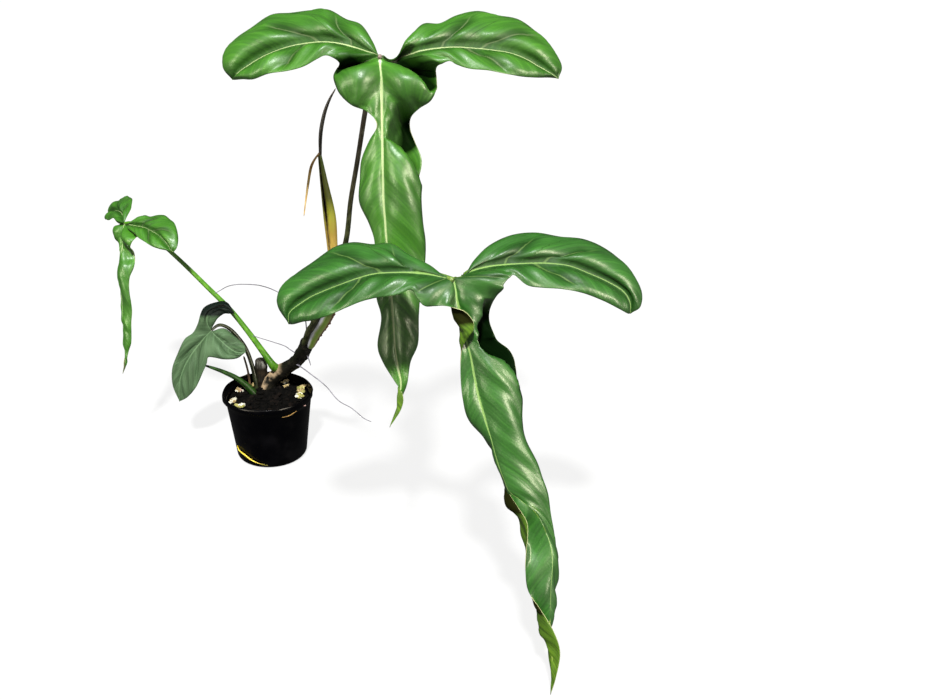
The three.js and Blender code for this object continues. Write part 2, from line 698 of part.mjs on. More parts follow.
function leafPlacement({ at, turn }) {
  const tilt = new THREE.Matrix4().makeRotationX(LEAF_TILT);
  const turned = new THREE.Matrix4().makeRotationZ(THREE.MathUtils.degToRad(turn)).multiply(tilt);
  return turned.setPosition(...at);
}

// A shape turned about the upright, from a profile of [radius, height] that closes or ends on the axis
function turnedGeometry(profile) {
  const outline = profile.map(([radius, height]) => new THREE.Vector2(radius, height));
  return new THREE.LatheGeometry(outline, POT_SIDES).rotateX(Math.PI / 2);
}

// The soft pot is a little out of round, more so towards its rim, and its mix follows it
function outOfRound(geometry) {
  const position = geometry.attributes.position;
  for (let i = 0; i < position.count; i++) {
    const [x, y, z] = [position.getX(i), position.getY(i), position.getZ(i)];
    const angle = Math.atan2(y, x);
    const swells = POT_WAVES.map(([waves, share, phase]) => share * Math.cos(waves * angle + phase));
    const factor = 1 + swells.reduce((sum, swell) => sum + swell) * (z / POT_HEIGHT) ** 2;
    position.setXY(i, x * factor, y * factor);
  }
  return geometry;
}

function potRadius(height) {
  return THREE.MathUtils.mapLinear(height, POT_CORNER, POT_HEIGHT, POT_BASE_RADIUS, POT_TOP_RADIUS);
}

// A quarter round of the lower edge, from the underside to the wall
function cornerArc(radius) {
  return [0, 0.25, 0.5, 0.75, 1].map((share) => {
    const angle = (share - 1) * (Math.PI / 2);
    return [POT_BASE_RADIUS - POT_CORNER + radius * Math.cos(angle), POT_CORNER + radius * Math.sin(angle)];
  });
}

function potGeometry() {
  const rimBottom = POT_HEIGHT - RIM_HEIGHT;
  const outside = (height) => [potRadius(height), height];
  const inside = (height) => [potRadius(height) - POT_WALL, height];
  const profile = [
    [0, 0],
    ...cornerArc(POT_CORNER),
    ...POT_RING_HEIGHTS.map(outside),
    outside(rimBottom),
    [POT_RIM_RADIUS - RIM_BEVEL, rimBottom],
    [POT_RIM_RADIUS, rimBottom + RIM_BEVEL],
    [POT_RIM_RADIUS, POT_HEIGHT - RIM_BEVEL],
    [POT_RIM_RADIUS - RIM_BEVEL, POT_HEIGHT],
    [POT_RIM_RADIUS - RIM_LIP, POT_HEIGHT],
    inside(POT_HEIGHT - RIM_LIP),
    ...POT_RING_HEIGHTS.toReversed().map(inside),
    ...cornerArc(POT_CORNER - POT_WALL).reverse(),
    [0, POT_WALL],
  ];
  const pot = solidOf(outOfRound(turnedGeometry(profile)));
  return Array.from({ length: DRAINS }, (_, i) => {
    const angle = (2 * Math.PI * i) / DRAINS;
    const drain = new THREE.CylinderGeometry(DRAIN_RADIUS, DRAIN_RADIUS, 4 * POT_WALL, 16);
    drain.rotateX(Math.PI / 2);
    return solidOf(drain.translate(DRAIN_CIRCLE * Math.cos(angle), DRAIN_CIRCLE * Math.sin(angle), 0));
  }).reduce((rest, drain) => rest.subtract(drain), pot);
}

function drawn(random, [low, high]) {
  return low + (high - low) * random();
}

// One angular chip of the mix
function chip(random, centre, size, extra = 0) {
  const shape = new THREE.DodecahedronGeometry(1, 0);
  const stretch = CHIP_STRETCH.map((range) => drawn(random, range));
  shape.scale(...stretch.map((s) => s * size + extra));
  shape.rotateX(Math.PI * random());
  shape.rotateZ(Math.PI * random());
  return solidOf(shape.translate(...centre));
}

// A patch of chips that lean on one another, so that it holds together as one body
function chipPatch({ seed, centre, spread, count, size }, extra = 0) {
  const random = seeded(seed);
  let patch = null;
  for (let i = 0; i < count; i++) {
    const angle = i * GOLDEN_TURN;
    const reach = Math.sqrt(i / count);
    const place = [
      centre[0] + spread[0] * reach * Math.cos(angle),
      centre[1] + spread[1] * reach * Math.sin(angle),
      SOIL_TOP + drawn(random, PATCH_CHIP_RISE),
    ];
    const piece = chip(random, place, size * drawn(random, [0.8, 1.2]), extra);
    patch = patch ? patch.add(piece) : piece;
  }
  return biggestBody(patch);
}

// The dark mix: it fills the pot to below its rim, and its top is lumpy with bark
function soilBody() {
  const reach = (height) => potRadius(height) - POT_WALL - GAP;
  const side = (height) => [reach(height), height];
  const profile = [
    [0, POT_WALL + GAP],
    ...cornerArc(POT_CORNER - POT_WALL - GAP),
    ...POT_RING_HEIGHTS.map(side),
    side(SOIL_TOP - SOIL_SHOULDER),
    ...SOIL_RINGS.map((share) => [share * reach(SOIL_TOP), SOIL_TOP]),
    [0, SOIL_TOP],
  ];
  const geometry = outOfRound(turnedGeometry(profile));
  const position = geometry.attributes.position;
  for (let i = 0; i < position.count; i++) {
    const [x, y, z] = [position.getX(i), position.getY(i), position.getZ(i)];
    if (z > SOIL_TOP - SOIL_SHOULDER / 2) {
      const lumps = Math.sin(0.31 * x + 0.8) * Math.cos(0.27 * y) + 0.5 * Math.sin(0.55 * x - 0.61 * y);
      position.setZ(i, z + SOIL_RELIEF * lumps);
    }
  }
  const random = seeded(SOIL_SEED);
  let soil = solidOf(geometry);
  for (let i = 0; i < SOIL_CHIPS; i++) {
    const angle = i * GOLDEN_TURN;
    const radius = SOIL_CHIP_REACH * Math.sqrt((i + 0.5) / SOIL_CHIPS);
    const height = SOIL_TOP + drawn(random, SOIL_CHIP_RISE);
    const place = [radius * Math.cos(angle), radius * Math.sin(angle), height];
    soil = soil.add(chip(random, place, drawn(random, SOIL_CHIP_SIZE)));
  }
  return soil;
}

const plant = new THREE.Group();
plant.name = "potted_philodendron";

function addNode(name, geometry, { colour, roughness }, placement = null) {
  const material = new THREE.MeshStandardMaterial({ color: colour, roughness, metalness: 0 });
  const mesh = new THREE.Mesh(geometry, material);
  mesh.name = name;
  if (placement) mesh.applyMatrix4(placement);
  plant.add(mesh);
}

// Leaves, and the room at each junction that keeps the stalk's end just behind the blade
const leafRooms = LEAVES.map((leaf) => {
  const placement = leafPlacement(leaf);
  addNode(leaf.name, leafGeometry(leaf), { colour: leaf.colour, roughness: LEAF_ROUGHNESS }, placement);
  const room = new THREE.BoxGeometry(JUNCTION_ROOM, JUNCTION_ROOM, JUNCTION_ROOM);
  room.translate(0, leaf.setback - JUNCTION_ROOM / 2, 0);
  return solidOf(room.applyMatrix4(placement));
});

// Stems: each is cut clear of the leaves and of the stems before it in the list
const stemRooms = [];
for (const stem of STEMS) {
  const rooms = [...leafRooms, ...stemRooms];
  const body = rooms.reduce((rest, room) => rest.subtract(room), solidOf(stemGeometry(stem)));
  addNode(stem.name, geometryOf(biggestBody(body)), stem);
  stemRooms.push(solidOf(stemGeometry(stem, GAP)));
}

// The chips lie in pockets of the mix, and the stems stand in plain holes in both
const patchRooms = [];
for (const patch of PATCHES) {
  const body = stemRooms.reduce((rest, room) => rest.subtract(room), chipPatch(patch));
  addNode(patch.name, geometryOf(biggestBody(body)), patch);
  patchRooms.push(chipPatch(patch, GAP));
}
const soil = [...stemRooms, ...patchRooms].reduce((rest, room) => rest.subtract(room), soilBody());
addNode("soil", geometryOf(biggestBody(soil)), SOIL_LOOK);
addNode("pot", geometryOf(potGeometry()), POT_LOOK);

export default plant;
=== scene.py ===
# %% [markdown]
# # A potted philodendron with T-shaped leaves
# The plant is a young climber in a small black nursery pot. Its leaves hang from long stalks, and each
# has two side lobes and one long middle lobe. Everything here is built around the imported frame, which
# gives the place of every piece, so the frame comes first.

# %% The frame
import math
import random

import bmesh
import bpy
from mathutils import Matrix, Vector, noise


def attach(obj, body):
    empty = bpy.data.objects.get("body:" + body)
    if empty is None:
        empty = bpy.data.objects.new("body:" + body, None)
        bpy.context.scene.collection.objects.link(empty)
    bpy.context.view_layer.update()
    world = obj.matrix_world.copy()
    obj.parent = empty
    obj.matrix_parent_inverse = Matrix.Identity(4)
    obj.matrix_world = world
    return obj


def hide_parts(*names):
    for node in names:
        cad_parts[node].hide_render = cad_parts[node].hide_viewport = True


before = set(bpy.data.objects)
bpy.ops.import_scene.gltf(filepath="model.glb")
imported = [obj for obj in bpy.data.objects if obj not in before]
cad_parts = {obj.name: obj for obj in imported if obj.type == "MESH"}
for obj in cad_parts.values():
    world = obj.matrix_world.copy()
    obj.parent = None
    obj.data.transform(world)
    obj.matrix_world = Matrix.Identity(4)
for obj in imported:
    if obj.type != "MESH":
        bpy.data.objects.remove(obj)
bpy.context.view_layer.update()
MM = 0.001
print("the frame has", len(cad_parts), "nodes")

# %% [markdown]
# The camera comes next, because every later choice is judged through it. It stands 1.3 metres in front of
# the pot and looks down by 25 degrees. The lens is a normal one, so the lower leaf, which is nearer, looks
# a little larger than the upper one.

# %% The camera
IMAGE_WIDTH = 933
FOCAL_LENGTH_PIXELS = 1227
SENSOR_MM = 36
CAMERA_PLACE = Vector((236, -1302, 744)) * MM
CAMERA_PITCH = 25


def into_scene(name, data):
    """A new object in the scene that holds that mesh, camera or light."""
    made = bpy.data.objects.new(name, data)
    bpy.context.scene.collection.objects.link(made)
    return made


lens = bpy.data.cameras.new("camera")
lens.sensor_width = SENSOR_MM
lens.lens = FOCAL_LENGTH_PIXELS * SENSOR_MM / IMAGE_WIDTH
camera = into_scene("camera", lens)
camera.location = CAMERA_PLACE
camera.rotation_euler = (math.radians(90 - CAMERA_PITCH), 0, 0)
bpy.context.scene.camera = camera
print("the lens is", round(lens.lens, 1), "mm long")

# %% [markdown]
# Materials are node trees. One function turns an sRGB hex value, as a paint chart gives it, into the
# linear numbers that the renderer wants. Another gives any node its inputs, and a third adds a node with
# its settings and inputs, so that a material reads as a list of nodes.

# %% Colour and node helpers


def linear(colour):
    """The linear colour of an sRGB hex value such as "4f8a3a"."""
    parts = [int(colour[i:i + 2], 16) / 255 for i in (0, 2, 4)]
    return (*[p / 12.92 if p <= 0.04045 else ((p + 0.055) / 1.055) ** 2.4 for p in parts], 1)


def feed(tree, node, inputs):
    """Gives a node its inputs: a list in the order of its sockets, or a dict by their names.

    An input is a number, a hex colour, an output or a node, whose first output is meant.
    """
    sockets = [socket for socket in node.inputs if socket.enabled]
    named = {socket.name: socket for socket in sockets}
    for key, value in inputs.items() if isinstance(inputs, dict) else enumerate(inputs):
        socket = named[key] if isinstance(key, str) else sockets[key]
        if isinstance(value, bpy.types.Node):
            value = next(output for output in value.outputs if output.enabled)
        if isinstance(value, bpy.types.NodeSocket):
            tree.links.new(value, socket)
        else:
            socket.default_value = linear(value) if isinstance(value, str) else value


def add(tree, kind, inputs=(), stops=(), **settings):
    """A node of that kind with its settings and inputs. stops are a ramp's (place, hex colour) pairs."""
    made = tree.nodes.new("ShaderNode" + kind)
    for name, value in settings.items():
        setattr(made, name, value)
    feed(tree, made, inputs)
    if stops:
        ramp = made.color_ramp.elements
        while len(ramp) < len(stops):
            ramp.new(0.5)
        for i, (place, colour) in enumerate(stops):
            ramp[i].position = place
            ramp[i].color = linear(colour)
    return made


def new_material(name):
    """An empty material: itself, its node tree and its Principled shader."""
    material = bpy.data.materials.new(name)
    material.use_nodes = True
    tree = material.node_tree
    print("material:", name)
    return material, tree, tree.nodes["Principled BSDF"]


# %% [markdown]
# A grid bent into shape is the start of the leaves, the stems and the sheath. Blender's create_grid makes
# the quads, and a function then says where each corner goes, from its place across and along the grid. A
# thin piece stays one sheet, and the Solidify modifier gives it its thickness.

# %% Grids, finished pieces and smooth lines


def bent_grid(bm, columns, rows, place, maps=(), turned=False):
    """A grid in bm whose corner (column, row) goes to place(column, row). Returns each corner's address.

    maps is a list of (UV layer, function of (column, row) that gives its two numbers).
    """
    made = bmesh.ops.create_grid(bm, x_segments=columns, y_segments=rows, size=1)
    address = {}
    for vert in made["verts"]:
        column = round((vert.co.x + 1) / 2 * columns)
        row = round((vert.co.y + 1) / 2 * rows)
        address[vert] = (column, row)
    faces = list({face for vert in made["verts"] for face in vert.link_faces})
    for layer, values in maps:
        for face in faces:
            for loop in face.loops:
                loop[layer].uv = values(*address[loop.vert])
    for vert, (column, row) in address.items():
        vert.co = place(column, row)
    if turned:
        bmesh.ops.reverse_faces(bm, faces=faces)
    return address


def mesh_object(name, bm, materials):
    """The bmesh as an object in the scene."""
    mesh = bpy.data.meshes.new(name)
    bm.to_mesh(mesh)
    bm.free()
    made = into_scene(name, mesh)
    for material in materials:
        mesh.materials.append(material)
    return made


def finished(name, bm, materials, replaced=None, smooth=True):
    """The bmesh, in millimetres, as a piece of the object in metres that rides on the root body."""
    bmesh.ops.scale(bm, vec=(MM, MM, MM), verts=bm.verts)
    piece = mesh_object(name, bm, materials)
    if smooth:
        piece.data.shade_smooth()
    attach(piece, "root")
    if replaced:
        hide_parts(replaced)
    print(name, "has", len(piece.data.polygons), "faces")
    return piece


def thicken(piece, thickness, offset, back=0, rim=0):
    """Gives a sheet its thickness in millimetres. back and rim count materials on from the front's."""
    wall = piece.modifiers.new("thickness", "SOLIDIFY")
    wall.thickness = thickness * MM
    wall.offset = offset
    wall.material_offset = back
    wall.material_offset_rim = rim


def smooth_row(points, steps):
    """Points on a smooth line through the given ones, steps to each span."""
    line = [2 * points[0] - points[1], *points, 2 * points[-1] - points[-2]]
    row = []
    for a, b, c, d in zip(line, line[1:], line[2:], line[3:]):
        for k in range(steps):
            t = k / steps
            row.append((2 * b + (c - a) * t + (2 * a - 5 * b + 4 * c - d) * t * t
                        + (3 * b - a - 3 * c + d) * t ** 3) / 2)
    row.append(points[-1].copy())
    return row


# %% [markdown]
# A leaf blade of this plant is a T: two side lobes and a long middle lobe that hangs. A sheet cut to that
# outline would be simpler, but on strips that follow the ribs, the veins and streaks can follow them too.
# Each half is two strips, a rear one behind the lobe's vein and a front one that runs from the lobe's tip
# past the stalk to the leaf's tip.
#
# The tables give points as [across, down, out] in millimetres from the stalk, with the blade facing the
# front. The midrib is a row of points. Beside each, on the right and the left, stands a point of the
# edge, with how far the blade bends off the straight line at a third and at two thirds of the way: a
# single number is a bend straight out. A lobe's rows are its vein, rear edge and front edge, and its
# first row has no front edge, because the midrib takes over there.

# %% The forms of the leaves
UPPER_LEAF = {
    "midrib": [
        [0, 0, 0], [0, 8, -1], [1, 17, -2], [1, 25, -4], [1, 36, -7], [1, 46, -10], [1, 57, -12],
        [1, 71, -14], [1, 86, -17], [1, 102, -22], [1, 119, -28], [2, 137, -35], [3, 155, -42],
        [4, 176, -50], [6, 199, -58], [7, 220, -66], [8, 245, -75], [10, 262, -81], [13, 279, -86],
        [12, 292, -90], [10, 305, -94], [2, 321, -98],
    ],
    "right": [
        [[47, 10, -12], -6, -8], [[48, 20, -5], 6, 6], [[48, 27, -2], 10, 10], [[43, 37, -4], 8, 8],
        [[33, 42, -12], 4, 2], [[25, 48, -22], 2, -3], [[24, 56, -28], 2, -4],
        [[28, 66, -32], 6, [-1, 0, 0]], [[34, 81, -31], 12, 12], [[35, 101, -28], 10, 12],
        [[34, 118, -32], 7, 9], [[35, 137, -39], 6, 7], [[37, 154, -47], 5, 6], [[36, 174, -56], 5, 5],
        [[32, 198, -64], 5, 5], [[30, 218, -72], 5, 5], [[29, 243, -80], 5, 5], [[22, 260, -84], 4, 4],
        [[19, 279, -87], 2, 2], [[15, 290, -93], 0, 0], [[9, 303, -96], 0, 0], [[2, 321, -98], 0, 0],
    ],
    "left": [
        [[-38, 8, -12], -5, -6], [[-40, 16, -5], [0, -1, 8], [0, -1, 8]], [[-38, 24, -2], 10, 10],
        [[-34, 32, -3], 8, 8], [[-25, 40, -7], 5, 5], [[-11, 46, -8], 2, 2],
        [[-3, 57, -8], [-1, 0, 0], [-1, 0, 0]], [[-11, 69, -20], 2, 2], [[-18, 84, -27], 4, 4],
        [[-20, 100, -34], 5, 5], [[-21, 119, -40], 5, 5], [[-13, 137, -45], 3, 3],
        [[-8, 154, -48], [-1, 0, 2], [-2, 0, 0]], [[-9, 178, -56], 3, 3], [[-8, 201, -66], 3, 3],
        [[-4, 220, -74], 3, 3], [[-8, 245, -83], 3, 3], [[-3, 261, -87], 3, 3], [[8, 279, -87], 1, 1],
        [[15, 291, -85], [-3, 0, 0], [-3, 0, 0]], [[13, 304, -90], [-2, 0, 0], [-2, 0, 0]],
        [[2, 321, -98], 0, 0],
    ],
    "rightLobe": [
        [[0, 0, 0], [1, 0, 0], None], [[10, 0, 0], [14, -4, -2], [47, 10, -8]],
        [[20, -4, -2], [25, -19, -10], [48, 8, -2]], [[33, -7, -4], [36, -32, -18], [52, 7, 1]],
        [[47, -10, -6], [50, -34, -24], [59, 5, 3]], [[63, -12, -9], [65, -43, -31], [65, 8, 3]],
        [[80, -12, -12], [83, -48, -36], [76, 11, 1]], [[96, -11, -15], [101, -45, -39], [92, 12, -1]],
        [[112, -9, -18], [119, -42, -41], [107, 14, -5]],
        [[127, -4, -22], [135, -31, -42], [121, 15, -11]],
        [[139, 2, -27], [149, -16, -42], [134, 14, -19]],
        [[149, 8, -32], [157, -1, -40], [145, 12, -28]],
        [[154, 11, -38], [154, 11, -38], [154, 11, -38]],
    ],
    "leftLobe": [
        [[0, 0, 0], [-1, 0, 0], None], [[-8, -3, 0], [-6, -12, -4], [-36, 7, -8]],
        [[-19, -8, -2], [-17, -30, -14], [-35, 5, -2]], [[-32, -13, -4], [-31, -37, -21], [-39, 2, 1]],
        [[-47, -16, -7], [-47, -47, -28], [-46, 0, 2]], [[-62, -16, -10], [-64, -48, -34], [-53, 3, 2]],
        [[-78, -14, -13], [-81, -47, -38], [-65, 9, 0]],
        [[-94, -10, -17], [-99, -46, -41], [-79, 12, -3]],
        [[-109, -4, -21], [-117, -35, -43], [-96, 13, -9]],
        [[-121, 3, -25], [-131, -25, -43], [-110, 16, -16]],
        [[-128, 8, -30], [-140, -11, -42], [-121, 14, -25]],
        [[-130, 10, -34], [-140, 2, -40], [-128, 13, -32]],
        [[-132, 12, -38], [-132, 12, -38], [-132, 12, -38]],
    ],
}
LOWER_LEAF = {
    "midrib": [
        [0, 0, 0], [2, 10, -2], [3, 17, -3], [5, 25, -5], [7, 35, -7], [9, 45, -9], [11, 53, -11],
        [14, 64, -14], [17, 79, -18], [21, 97, -23], [26, 115, -28], [31, 134, -33], [37, 155, -39],
        [42, 169, -42], [47, 180, -45], [58, 187, -47], [70, 197, -49], [78, 211, -53], [84, 228, -57],
        [86, 245, -61], [85, 266, -67], [85, 286, -73], [84, 307, -79], [87, 328, -84], [88, 348, -89],
        [86, 366, -94],
    ],
    "right": [
        [[41, 9, 2], 3, 4], [[36, 14, -6], 4, 4], [[33, 19, -13], 6, 6],
        [[31, 26, -21], [2, 0, 8], [2, 0, 4]], [[31, 35, -27], [3, 0, 9], [1, 0, 6]],
        [[34, 44, -31], [2, 0, 10], [-2, 0, 8]], [[38, 51, -35], [2, 1, 11], [-3, 2, 12]],
        [[48, 59, -34], [2, 2, 12], [-1, 3, 14]], [[55, 73, -30], [0, 2, 12], [0, 4, 14]],
        [[58, 94, -27], 8, 10], [[58, 117, -32], 6, 8], [[61, 134, -37], 5, 6], [[71, 154, -44], 5, 5],
        [[76, 168, -49], 5, 5], [[81, 182, -54], 5, 5], [[84, 200, -63], 2, 3], [[87, 215, -71], 0, 0],
        [[89, 228, -77], 0, 0], [[91, 241, -81], [2, 0, 0], [1, 0, 0]],
        [[90, 256, -83], [2, 0, 0], [2, 0, 0]], [[87, 273, -87], [3, 0, 0], [4, 0, 0]],
        [[83, 291, -89], [4, 0, 0], [5, 0, 0]], [[83, 311, -91], [2, 0, 0], [2, 0, 0]],
        [[84, 331, -92], 0, 0], [[87, 350, -93], 0, 0], [[86, 366, -94], 0, 0],
    ],
    "left": [
        [[-15, 23, 2], 3, 3], [[-7, 23, 6], 2, [-1, 0, 2]], [[2, 25, 11], [-4, 2, -2], [-5, 1, -2]],
        [[10, 28, 12], [-6, 2, -4], [-7, 2, -4]], [[16, 35, 10], [-6, 0, -4], [-8, 0, -2]],
        [[17, 42, 7], [-6, 0, -4], [-7, 0, -2]], [[13, 48, 3], [-5, 0, -4], [-6, 0, -2]],
        [[7, 59, -10], [-1, 0, -2], [-2, 0, -2]], [[6, 79, -20], 0, 0], [[8, 100, -27], 2, 2],
        [[13, 118, -36], 2, 2], [[28, 136, -51], 2, 2], [[40, 156, -65], [-2, 0, 0], 0],
        [[46, 170, -65], [-2, 0, 0], [-3, 0, 0]], [[47, 180, -51], [-3, 0, -6], [-3, 0, -8]],
        [[54, 191, -40], [-7, 3, -6], [-10, 3, -9]], [[62, 204, -39], [-7, 3, -8], [-12, 0, -10]],
        [[63, 218, -43], [-7, 0, -8], [-10, 0, -10]], [[62, 233, -51], [-5, 0, -6], [-5, 0, -8]],
        [[62, 251, -61], [-2, 0, 0], [-2, 0, 0]], [[65, 269, -67], 2, 2],
        [[75, 284, -68], [-3, 3, -4], [-6, 5, -8]], [[87, 304, -69], [-5, 2, -6], [-10, 2, -8]],
        [[93, 324, -75], [-3, 0, -4], [-7, 0, -6]], [[90, 348, -84], [-2, 0, -2], [-2, 0, -2]],
        [[86, 366, -94], 0, 0],
    ],
    "rightLobe": [
        [[0, 0, 0], [1, 0, 0], None], [[8, -3, 0], [9, -4, -2], [41, 6, 4]],
        [[17, -7, -2], [18, -16, -10], [43, 3, 4]], [[29, -11, -4], [30, -28, -18], [46, 0, 4]],
        [[43, -13, -7], [48, -37, -25], [50, -2, 3]], [[62, -14, -10], [69, -40, -32], [60, 6, 4]],
        [[79, -14, -13], [90, -37, -37], [72, 8, 1]], [[97, -12, -16], [111, -35, -40], [89, 9, -2]],
        [[114, -6, -20], [131, -26, -42], [107, 12, -8]],
        [[130, 1, -24], [149, -10, -42], [124, 18, -14]],
        [[143, 9, -28], [159, 8, -40], [137, 24, -20]],
        [[149, 18, -33], [158, 22, -38], [146, 28, -29]],
        [[150, 28, -40], [150, 28, -40], [150, 28, -40]],
    ],
    "leftLobe": [
        [[0, 0, 0], [-1, 0, 0], None], [[-9, -1, 0], [-9, -4, -2], [-23, 23, 5]],
        [[-21, -4, -2], [-19, -11, -10], [-29, 17, 5]], [[-35, -6, -4], [-36, -20, -18], [-34, 10, 5]],
        [[-50, -6, -6], [-52, -30, -24], [-46, 14, 5]], [[-66, -5, -9], [-68, -30, -29], [-61, 16, 3]],
        [[-79, -2, -12], [-85, -32, -34], [-74, 19, 0]],
        [[-91, 2, -15], [-101, -28, -37], [-87, 24, -3]],
        [[-107, 8, -20], [-119, -16, -40], [-102, 30, -10]],
        [[-121, 14, -24], [-135, -5, -42], [-116, 34, -16]],
        [[-132, 21, -28], [-147, 7, -42], [-125, 35, -22]],
        [[-139, 28, -32], [-149, 21, -40], [-134, 37, -29]],
        [[-139, 37, -36], [-139, 37, -36], [-139, 37, -36]],
    ],
}
YOUNG_LEAF = {
    "midrib": [
        [0, 0, 0], [-10, 10, -2], [-22, 24, -6], [-34, 42, -12], [-42, 62, -20], [-44, 84, -30],
    ],
    "right": [
        [[-3, 31, 2], 3, 3], [[-5, 38, 0], 4, 4], [[-11, 50, -4], 4, 4], [[-20, 66, -12], 3, 3],
        [[-32, 78, -22], 1, 1], [[-44, 84, -30], 0, 0],
    ],
    "left": [
        [[-22, 2, -4], 2, 2], [[-33, 10, -8], 3, 3], [[-42, 26, -14], 3, 3], [[-50, 44, -20], 3, 3],
        [[-51, 64, -26], 1, 1], [[-44, 84, -30], 0, 0],
    ],
    "rightLobe": [
        [[0, 0, 0], [1, 0, 0], None], [[8, 8, 2], [15, -3, -4], [4, 31, 2]],
        [[20, 18, 4], [28, 7, -6], [16, 33, 4]], [[32, 25, 4], [39, 17, -3], [31, 32, 3]],
        [[41, 25, 2], [41, 25, 2], [41, 25, 2]],
    ],
    "leftLobe": [
        [[0, 0, 0], [0, -1, 0], None], [[-4, -10, 6], [4, -8, 2], [-16, -8, -2]],
        [[0, -22, 12], [9, -15, 5], [-8, -27, 2]], [[12, -28, 14], [17, -20, 8], [9, -34, 6]],
        [[22, -27, 15], [23, -20, 10], [21, -33, 9]], [[31, -20, 13], [31, -20, 13], [31, -20, 13]],
    ],
}
for form in (UPPER_LEAF, LOWER_LEAF, YOUNG_LEAF):
    print("a midrib of", len(form["midrib"]), "points")

# %% [markdown]
# The strong veins are what makes the side lobes look quilted: the blade is drawn in along each one and
# swells between them. Each is given by where it leaves the lobe's vein and where it fades, counted in
# the rows of the tables, and by how far across the strip it gets. On a front strip, rows of the lobe
# count up from the stalk and rows of the middle lobe count down from it.

# %% The strong veins
STRONG_VEINS = {
    "leaf_1": {
        "left rear": [(4.5, 7.4, 0.7), (2.5, 3.6, 0.9)],
        "left front": [(5.15, 7.2, 0.95)],
        "right rear": [(6.4, 9.2, 0.75), (4.35, 5.8, 0.85)],
        "right front": [(5.6, 8.1, 1.0)],
    },
    "leaf_2": {
        "left rear": [(4.6, 7.3, 0.95), (2.6, 4.0, 0.95)],
        "left front": [(5.9, 7.9, 0.9), (0.6, 2.3, 0.9)],
        "right rear": [(5.8, 7.7, 0.8), (4.0, 5.0, 0.85)],
        "right front": [(5.3, 7.7, 0.9), (0.1, 2.6, 0.95)],
    },
    "leaf_4": {
        "left rear": [(1.4, 2.2, 0.8)],
        "left front": [(-1.5, -2.8, 0.9)],
        "right rear": [(1.4, 2.4, 0.8)],
        "right front": [(-1.2, -2.6, 0.9), (1.5, 2.5, 0.8)],
    },
}
STRONG_VEINS["leaf_3"] = STRONG_VEINS["leaf_1"]
VEIN_BEND = 0.75
VEIN_FADE = 0.25
VEIN_FIRST = 0.03
VEIN_PAST_END = 1.3
NO_VEIN_NEAR = 99.0
for name, strips in STRONG_VEINS.items():
    print(name, "has", sum(len(veins) for veins in strips.values()), "strong veins")

# %% [markdown]
# The relief has four parts, all in millimetres: grooves along the ribs and the strong veins, fine pleats
# along the side veins, broad swells between them, and ripples that follow nothing. A rib's groove is its
# depth and how far to the side it reaches. It starts and ends softly, at the stalk and at the tips.

# %% Sizes of the relief
LOBE_GROOVE = (5.0, 14)
MIDDLE_GROOVE = (1.2, 8)
GROOVE_FROM_STALK = 30
GROOVE_FROM_TIP = 25
VEIN_GROOVE = 4.6
VEIN_GROOVE_REACH = 14
VEIN_FROM_RIB = 6
VEIN_FROM_STALK = 40
SIDE_VEIN_SPACING = 7.5
SIDE_VEIN_LEAN = 0.75
SIDE_VEIN_CURVE = 0.5
FAN_REACH = 30
PLEAT_DEPTH = 0.1
SWELL_DEPTH = 3.4
SWELL_PER_VEIN = 0.42
SWELL_LENGTH = 55
SWELL_AT_STALK = 0.2
RIPPLE_DEPTH = 1.0
RIPPLE_SIZE = 30
RIB_FADE = 8
MARGIN_FADE = 5
LOBE_BELLY = 4
REAR_BELLY = 9
REAR_BELLY_SHARE = 0.25

# %% [markdown]
# Where the middle lobe narrows below its shoulders, the blade doubles over itself: a crest stands
# forward and hides a deep hollow behind it. Each such fold is a line on the blade, in
# millimetres [across, down] from the stalk. The blade in front of it is lifted, and the blade behind it
# is pushed back and drawn under the crest. The hollow also gets painted shade: along the line, dark
# gives the shares between which the painted shade sets in and fades again, and shade says how far back
# it reaches. A fold with no depth is only painted shade: the second and third of leaf 1, where that
# leaf turns away from the light. Both says that the painted shade lies on both sides of its line.

# %% The folds
FOLDS = {
    "leaf_1": [
        {"line": [(3, 68), (9, 70), (17, 75), (27, 87), (33, 99), (36, 111), (38, 121), (39, 131)],
         "lift": 2.5, "deep": -54, "reach": 27, "shade": 7, "dark": (0.15, 0.4, 0.65, 0.85)},
        {"line": [(27, 36), (23, 50), (22, 60), (23, 69), (26, 76)],
         "both": True, "shade": 14, "dark": (0.0, 0.4, 0.75, 1.0)},
        {"line": [(-38, 17), (-33, 12), (-26, 8.5), (-18, 5.5), (-8, 2.5)],
         "shade": 16, "dark": (0.0, 0.2, 0.6, 1.0)},
        {"line": [(3, 4), (14, 6), (25, 12), (34, 19), (39, 25), (42, 31)],
         "lift": 3, "deep": -32, "reach": 17, "shade": 20, "dark": (0.05, 0.2, 0.85, 1.0)},
    ],
    "leaf_2": [
        {"line": [(25, 16), (23, 28), (21, 42), (20, 50), (22, 56), (27, 61), (36, 65), (42, 68),
                  (48, 73), (52, 81), (55, 90), (58, 102)],
         "lift": 1, "deep": -58, "reach": 27, "shade": 30, "dark": (0.0, 0.12, 0.9, 1.0)},
    ],
}
FOLD_ROUNDNESS = 0.6
LIFT_REACH = 16
WALL = 3.0
DARK_FROM = 0.8
TUCK = 5.0
TUCK_REACH = 4.0
# Spans in millimetres down the left edge where the inner side of a curl gets painted shade.
CURL_SHADE_SPANS = {"leaf_2": [(20, 40), (166, 200), (258, 292)]}
CURL_START = 0.45
CURL_FADE = 0.15
CURL_END_FADE = 4
for name, folds in FOLDS.items():
    print(name, "has", len(folds), "folds and shades")
